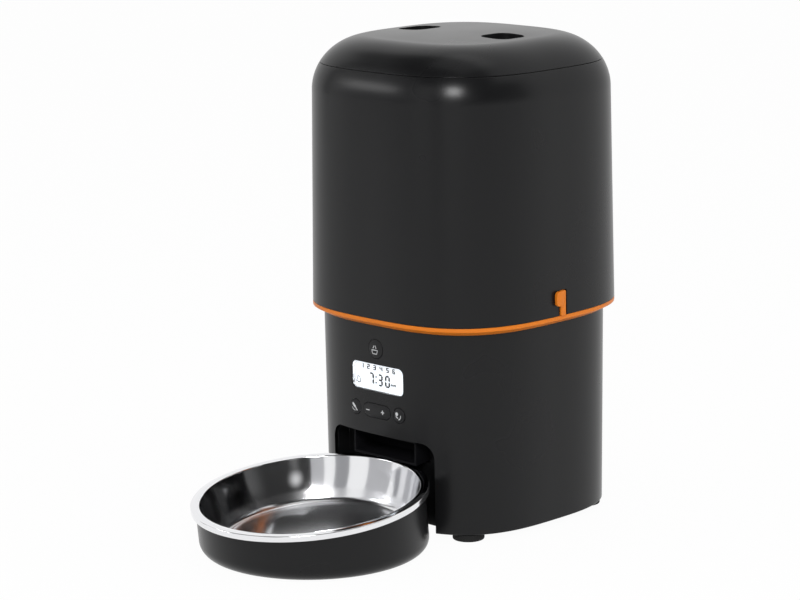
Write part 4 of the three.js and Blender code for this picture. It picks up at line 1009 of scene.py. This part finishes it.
def ring_part(x, z, radius, width, start, end, steps=16):
    """Part of a flat ring between two radii and two angles."""
    angles = np.radians(np.linspace(start, end, steps))
    return np.vstack([arc(x, z, radius + width / 2, angles), arc(x, z, radius - width / 2, angles)[::-1]])


def sign(name, outlines, key):
    """A printed sign that stands just proud of its key's face and moves with the key."""
    face = faces_at[key]
    printed(name, outlines, face - PRINT_THICKNESS, face + 0.1, key, white_print)


x, z = FEED_SIGN
dish = [((x - 2.8, z), (x + 2.8, z)), ((x - 2.6, z), (x - 1.9, z - 2.5)),
        ((x + 2.6, z), (x + 1.9, z - 2.5)), ((x - 1.9, z - 2.5), (x + 1.9, z - 2.5))]
steam = [((x - 1.4, z + 1.2), (x - 0.5, z + 2.9)), ((x + 1.4, z + 1.2), (x + 0.5, z + 2.9))]
sign("feed_sign", [rod(*ends, 0.5) for ends in dish + steam], "feed_key")
x, z = RECORD_SIGN
sign("record_sign", [
    rod((x - 1.7, z + 1.9), (x + 0.2, z - 0.1), 1.5),
    rod((x + 0.6, z - 0.6), (x + 1.9, z - 2.1), 0.8),
    ring_part(x, z, 2.4, 0.4, 190, 280),
], "record_key")
x, z = CALL_SIGN
sign("call_sign", [
    circle(x - 1.2, z + 1.1, 1.25, 20),
    rod((x - 1.9, z - 0.6), (x - 0.3, z - 1.4), 0.7),
    ring_part(x - 0.2, z, 2.5, 0.55, -75, 15),
], "call_key")
sign("minus_sign", [rod((-10.0, 80.7), (-7.2, 80.7), 0.6)], "minus_plus_rocker")
plus = [rod((4.1, 80.8), (6.3, 80.8), 0.8), rod((5.2, 79.7), (5.2, 81.9), 0.8)]
sign("plus_sign", plus, "minus_plus_rocker")
print("signs: 5")

# %% [markdown]
# ## Camera
# A long lens from far away keeps the machine's upright lines almost parallel, as in a catalogue
# picture. The camera stands to the right of the front and a little above it. Its direction is
# given by three angles: round the upright axis, down from the horizon, and a slight roll.

# %% Camera
HEADING = math.radians(45.199)
DOWNWARD = math.radians(12.003)
ROLL = math.radians(-0.913)
SENSOR = 36.0
FOCAL_PIXELS = 2937.3
WIDTH_PIXELS = 800
CAMERA_PLACE = (1338.034, -1388.93, 552.819)

camera_data = bpy.data.cameras.new("studio_camera")
camera_data.sensor_width = SENSOR
camera_data.lens = SENSOR * FOCAL_PIXELS / WIDTH_PIXELS
camera_data.clip_end = 100
camera = new_object("studio_camera", camera_data)
turn = (Matrix.Rotation(HEADING, 4, "Z") @ Matrix.Rotation(math.pi / 2 - DOWNWARD, 4, "X")
        @ Matrix.Rotation(ROLL, 4, "Z"))
camera.matrix_world = Matrix.Translation(Vector(in_frame(CAMERA_PLACE))) @ turn
bpy.context.scene.camera = camera
print("lens", round(camera_data.lens, 1), "mm")

# %% [markdown]
# ## Floor and backdrop
# The machine stands on a wide sheet of pale paper. Straight and mirrored views of the backdrop
# are pure white, but it lights the machine only moderately, so that colours render as written.
# The paper does the same: it glows for the eye, and takes shadows with the rest of its share.

# %% Floor and world
BACKDROP_LIGHT = 0.6
FLOOR_GLOW = 0.965
FLOOR_REACH = 9.0
FLOOR_DROP = 0.0002


def seen_directly(tree):
    """1 for rays that show the background itself: straight, mirrored or through glass."""
    path = add(tree, "LightPath", {}).outputs
    highest = path["Is Camera Ray"]
    for kind in ("Is Glossy Ray", "Is Transmission Ray"):
        either = add(tree, "Math", {0: highest, 1: path[kind]})
        either.operation = "MAXIMUM"
        highest = either.outputs[0]
    return highest


world = bpy.data.worlds.new("studio")
bpy.context.scene.world = world
world.use_nodes = True
tree = world.node_tree
tree.nodes.clear()
lighting, backdrop = (
    add(tree, "Background", {"Color": (1, 1, 1, 1), "Strength": strength}).outputs[0]
    for strength in (BACKDROP_LIGHT, 1.0))
mix = add(tree, "MixShader", {"Fac": seen_directly(tree), 1: lighting, 2: backdrop})
add(tree, "OutputWorld", {"Surface": mix.outputs[0]})

floor_mesh = bpy.data.meshes.new("studio_floor")
floor_corners = [(x * FLOOR_REACH, y * FLOOR_REACH, 0) for x, y in ((-1, -1), (1, -1), (1, 1), (-1, 1))]
floor_mesh.from_pydata(floor_corners, [], [(0, 1, 2, 3)])
studio_floor = new_object("studio_floor", floor_mesh)
studio_floor.location.z = -FLOOR_DROP
paper, tree, shader = new_finish("floor_paper")
feed(tree, shader, {"Base Color": (0.88, 0.88, 0.88, 1), "Roughness": 0.9, "Specular IOR Level": 0.1})
glow = add(tree, "Emission", {"Color": (1, 1, 1, 1)})
share = add(tree, "Math", {0: seen_directly(tree), 1: FLOOR_GLOW})
share.operation = "MULTIPLY"
mix = add(tree, "MixShader", {"Fac": share.outputs[0], 1: shader.outputs[0], 2: glow.outputs[0]})
feed(tree, tree.nodes["Material Output"], {"Surface": mix.outputs[0]})
floor_mesh.materials.append(paper)
print("floor and world ready")

# %% [markdown]
# ## Lamps
# Five rectangular lamps stand round the machine. The key lamp above the camera only lights, and
# one near it is only mirrored, so the glint on the shoulder can be placed without making the
# front brighter. The lamp at the back right only lights as well. The large one overhead draws
# the light grey sheen on the dome.

# %% Lamps
def soft_box(name, place, target, size, watts, shows="both"):
    """A rectangular lamp that faces its target: it lights, or is mirrored in gloss, or both."""
    lamp_data = bpy.data.lights.new(name, "AREA")
    lamp_data.shape = "RECTANGLE"
    lamp_data.size, lamp_data.size_y = size
    lamp_data.energy = watts
    lamp = new_object(name, lamp_data)
    away = Vector(place) - Vector(target)
    lamp.visible_glossy = shows in ("both", "mirrored")
    lamp.visible_diffuse = shows in ("both", "lit")
    lamp.matrix_world = Matrix.Translation(place) @ away.to_track_quat("Z", "Y").to_matrix().to_4x4()


DOME_MIDDLE = (0, 0.07, 0.3)
soft_box("key_box", (0.98, -0.93, 0.86), DOME_MIDDLE, (0.36, 0.3), 8.5, "lit")
soft_box("glint_box", (0.72, -1.14, 0.98), DOME_MIDDLE, (0.46, 0.4), 15.5, "mirrored")
soft_box("left_box", (-1.0, -1.02, 0.66), DOME_MIDDLE, (0.42, 0.26), 2)
soft_box("right_box", (1.7, 0.9, 1.0), (0, 0.07, 0.2), (0.8, 1.1), 6, "lit")
soft_box("overhead_box", (0, 0.07, 1.9), DOME_MIDDLE, (1.2, 1.2), 3)
print("lamps:", len(bpy.data.lights))

# %% [markdown]
# ## Cards for the reflections
# A polished bowl shows the whole room, so the room is laid out in cards that only reflections
# show. Dark ones stand beside the camera and hang over it, and pale ones stand in front of the
# bowl and to its left. Two soft glows on the dark card draw bright streaks in the steel.

# %% Cards
def card(name, corners, finish):
    """A four-cornered card that only reflections show: it lights nothing and casts no shadow."""
    mesh = bpy.data.meshes.new(name)
    mesh.from_pydata(corners, [], [(0, 1, 2, 3)])
    mesh.materials.append(finish)
    sheet = new_object(name, mesh)
    sheet.visible_camera = False
    sheet.visible_diffuse = False
    sheet.visible_shadow = False
    sheet.visible_transmission = False


def strip(name, heading, spread_angle, finish, low=0.03, high=2.2, away=2.2):
    """An upright card at a heading from the frame's origin, as wide as its spread in degrees."""
    side, half = math.radians(heading), away * math.tan(math.radians(spread_angle / 2))
    middle = np.array([away * math.cos(side), away * math.sin(side)])
    across = np.array([-math.sin(side), math.cos(side)]) * half
    (x0, y0), (x1, y1) = middle - across, middle + across
    card(name, [(x0, y0, low), (x1, y1, low), (x1, y1, high), (x0, y0, high)], finish)


def soft_glows(material, spots):
    """Round glows that fade outward: each adds its strength times a smooth step of distance."""
    tree = material.node_tree
    place = add(tree, "TexCoord", {})
    total = 0.0
    for middle, radius, strength in spots:
        distance = add(tree, "VectorMath", {0: place.outputs["Object"], 1: middle})
        distance.operation = "DISTANCE"
        fade = add(tree, "MapRange", {"From Max": radius, "To Min": strength, "To Max": 0.0})
        fade.interpolation_type = "SMOOTHSTEP"
        feed(tree, fade, {"Value": distance.outputs["Value"]})
        total = add(tree, "Math", {0: fade.outputs["Result"], 1: total}).outputs[0]
    emission = {"Emission Color": (1, 1, 1, 1), "Emission Strength": total}
    feed(tree, tree.nodes["Principled BSDF"], emission)


def matt(name, *colour):
    """A card's finish, without gloss."""
    return plastic(name, colour, 0.9, 0.0, edge=0)


soot = matt("flag_soot", 0.05, 0.05, 0.05)
soft_glows(soot, [((2.19, -1.32, 0.98), 0.5, 0.7), ((2.7, 1.1, 0.85), 1.1, 0.07)])
velvet = matt("flag_velvet", 0.02, 0.02, 0.02)
smoke = matt("flag_smoke", 0.06, 0.06, 0.06)
pearl = matt("flag_pearl", 0.5, 0.5, 0.52)
pale = matt("flag_pale", 0.72, 0.72, 0.74)
card("camera_side_flag", [(2.0, -2.2, 0.3), (2.9, 2.0, 0.3), (2.9, 2.0, 2.2), (2.0, -2.2, 2.2)], soot)
card("ceiling_flag", [(-2.2, -2.9, 2.2), (3.2, -2.9, 2.2), (3.2, 0.3, 2.2), (-2.2, 0.3, 2.2)], velvet)
strip("near_strip", -55, 14, pale, low=0.3)
strip("front_strip", -81, 15, pearl)
strip("left_strip", -125, 30, pale)
strip("far_left_strip", -161, 8, smoke)
print("cards: 6")
bpy.context.scene.view_settings.view_transform = "Standard"

# %% [markdown]
# ## The last update
# The view layer is brought up to date at the end, so that every dressed piece stands with its body.

# %% Last update
bpy.context.view_layer.update()
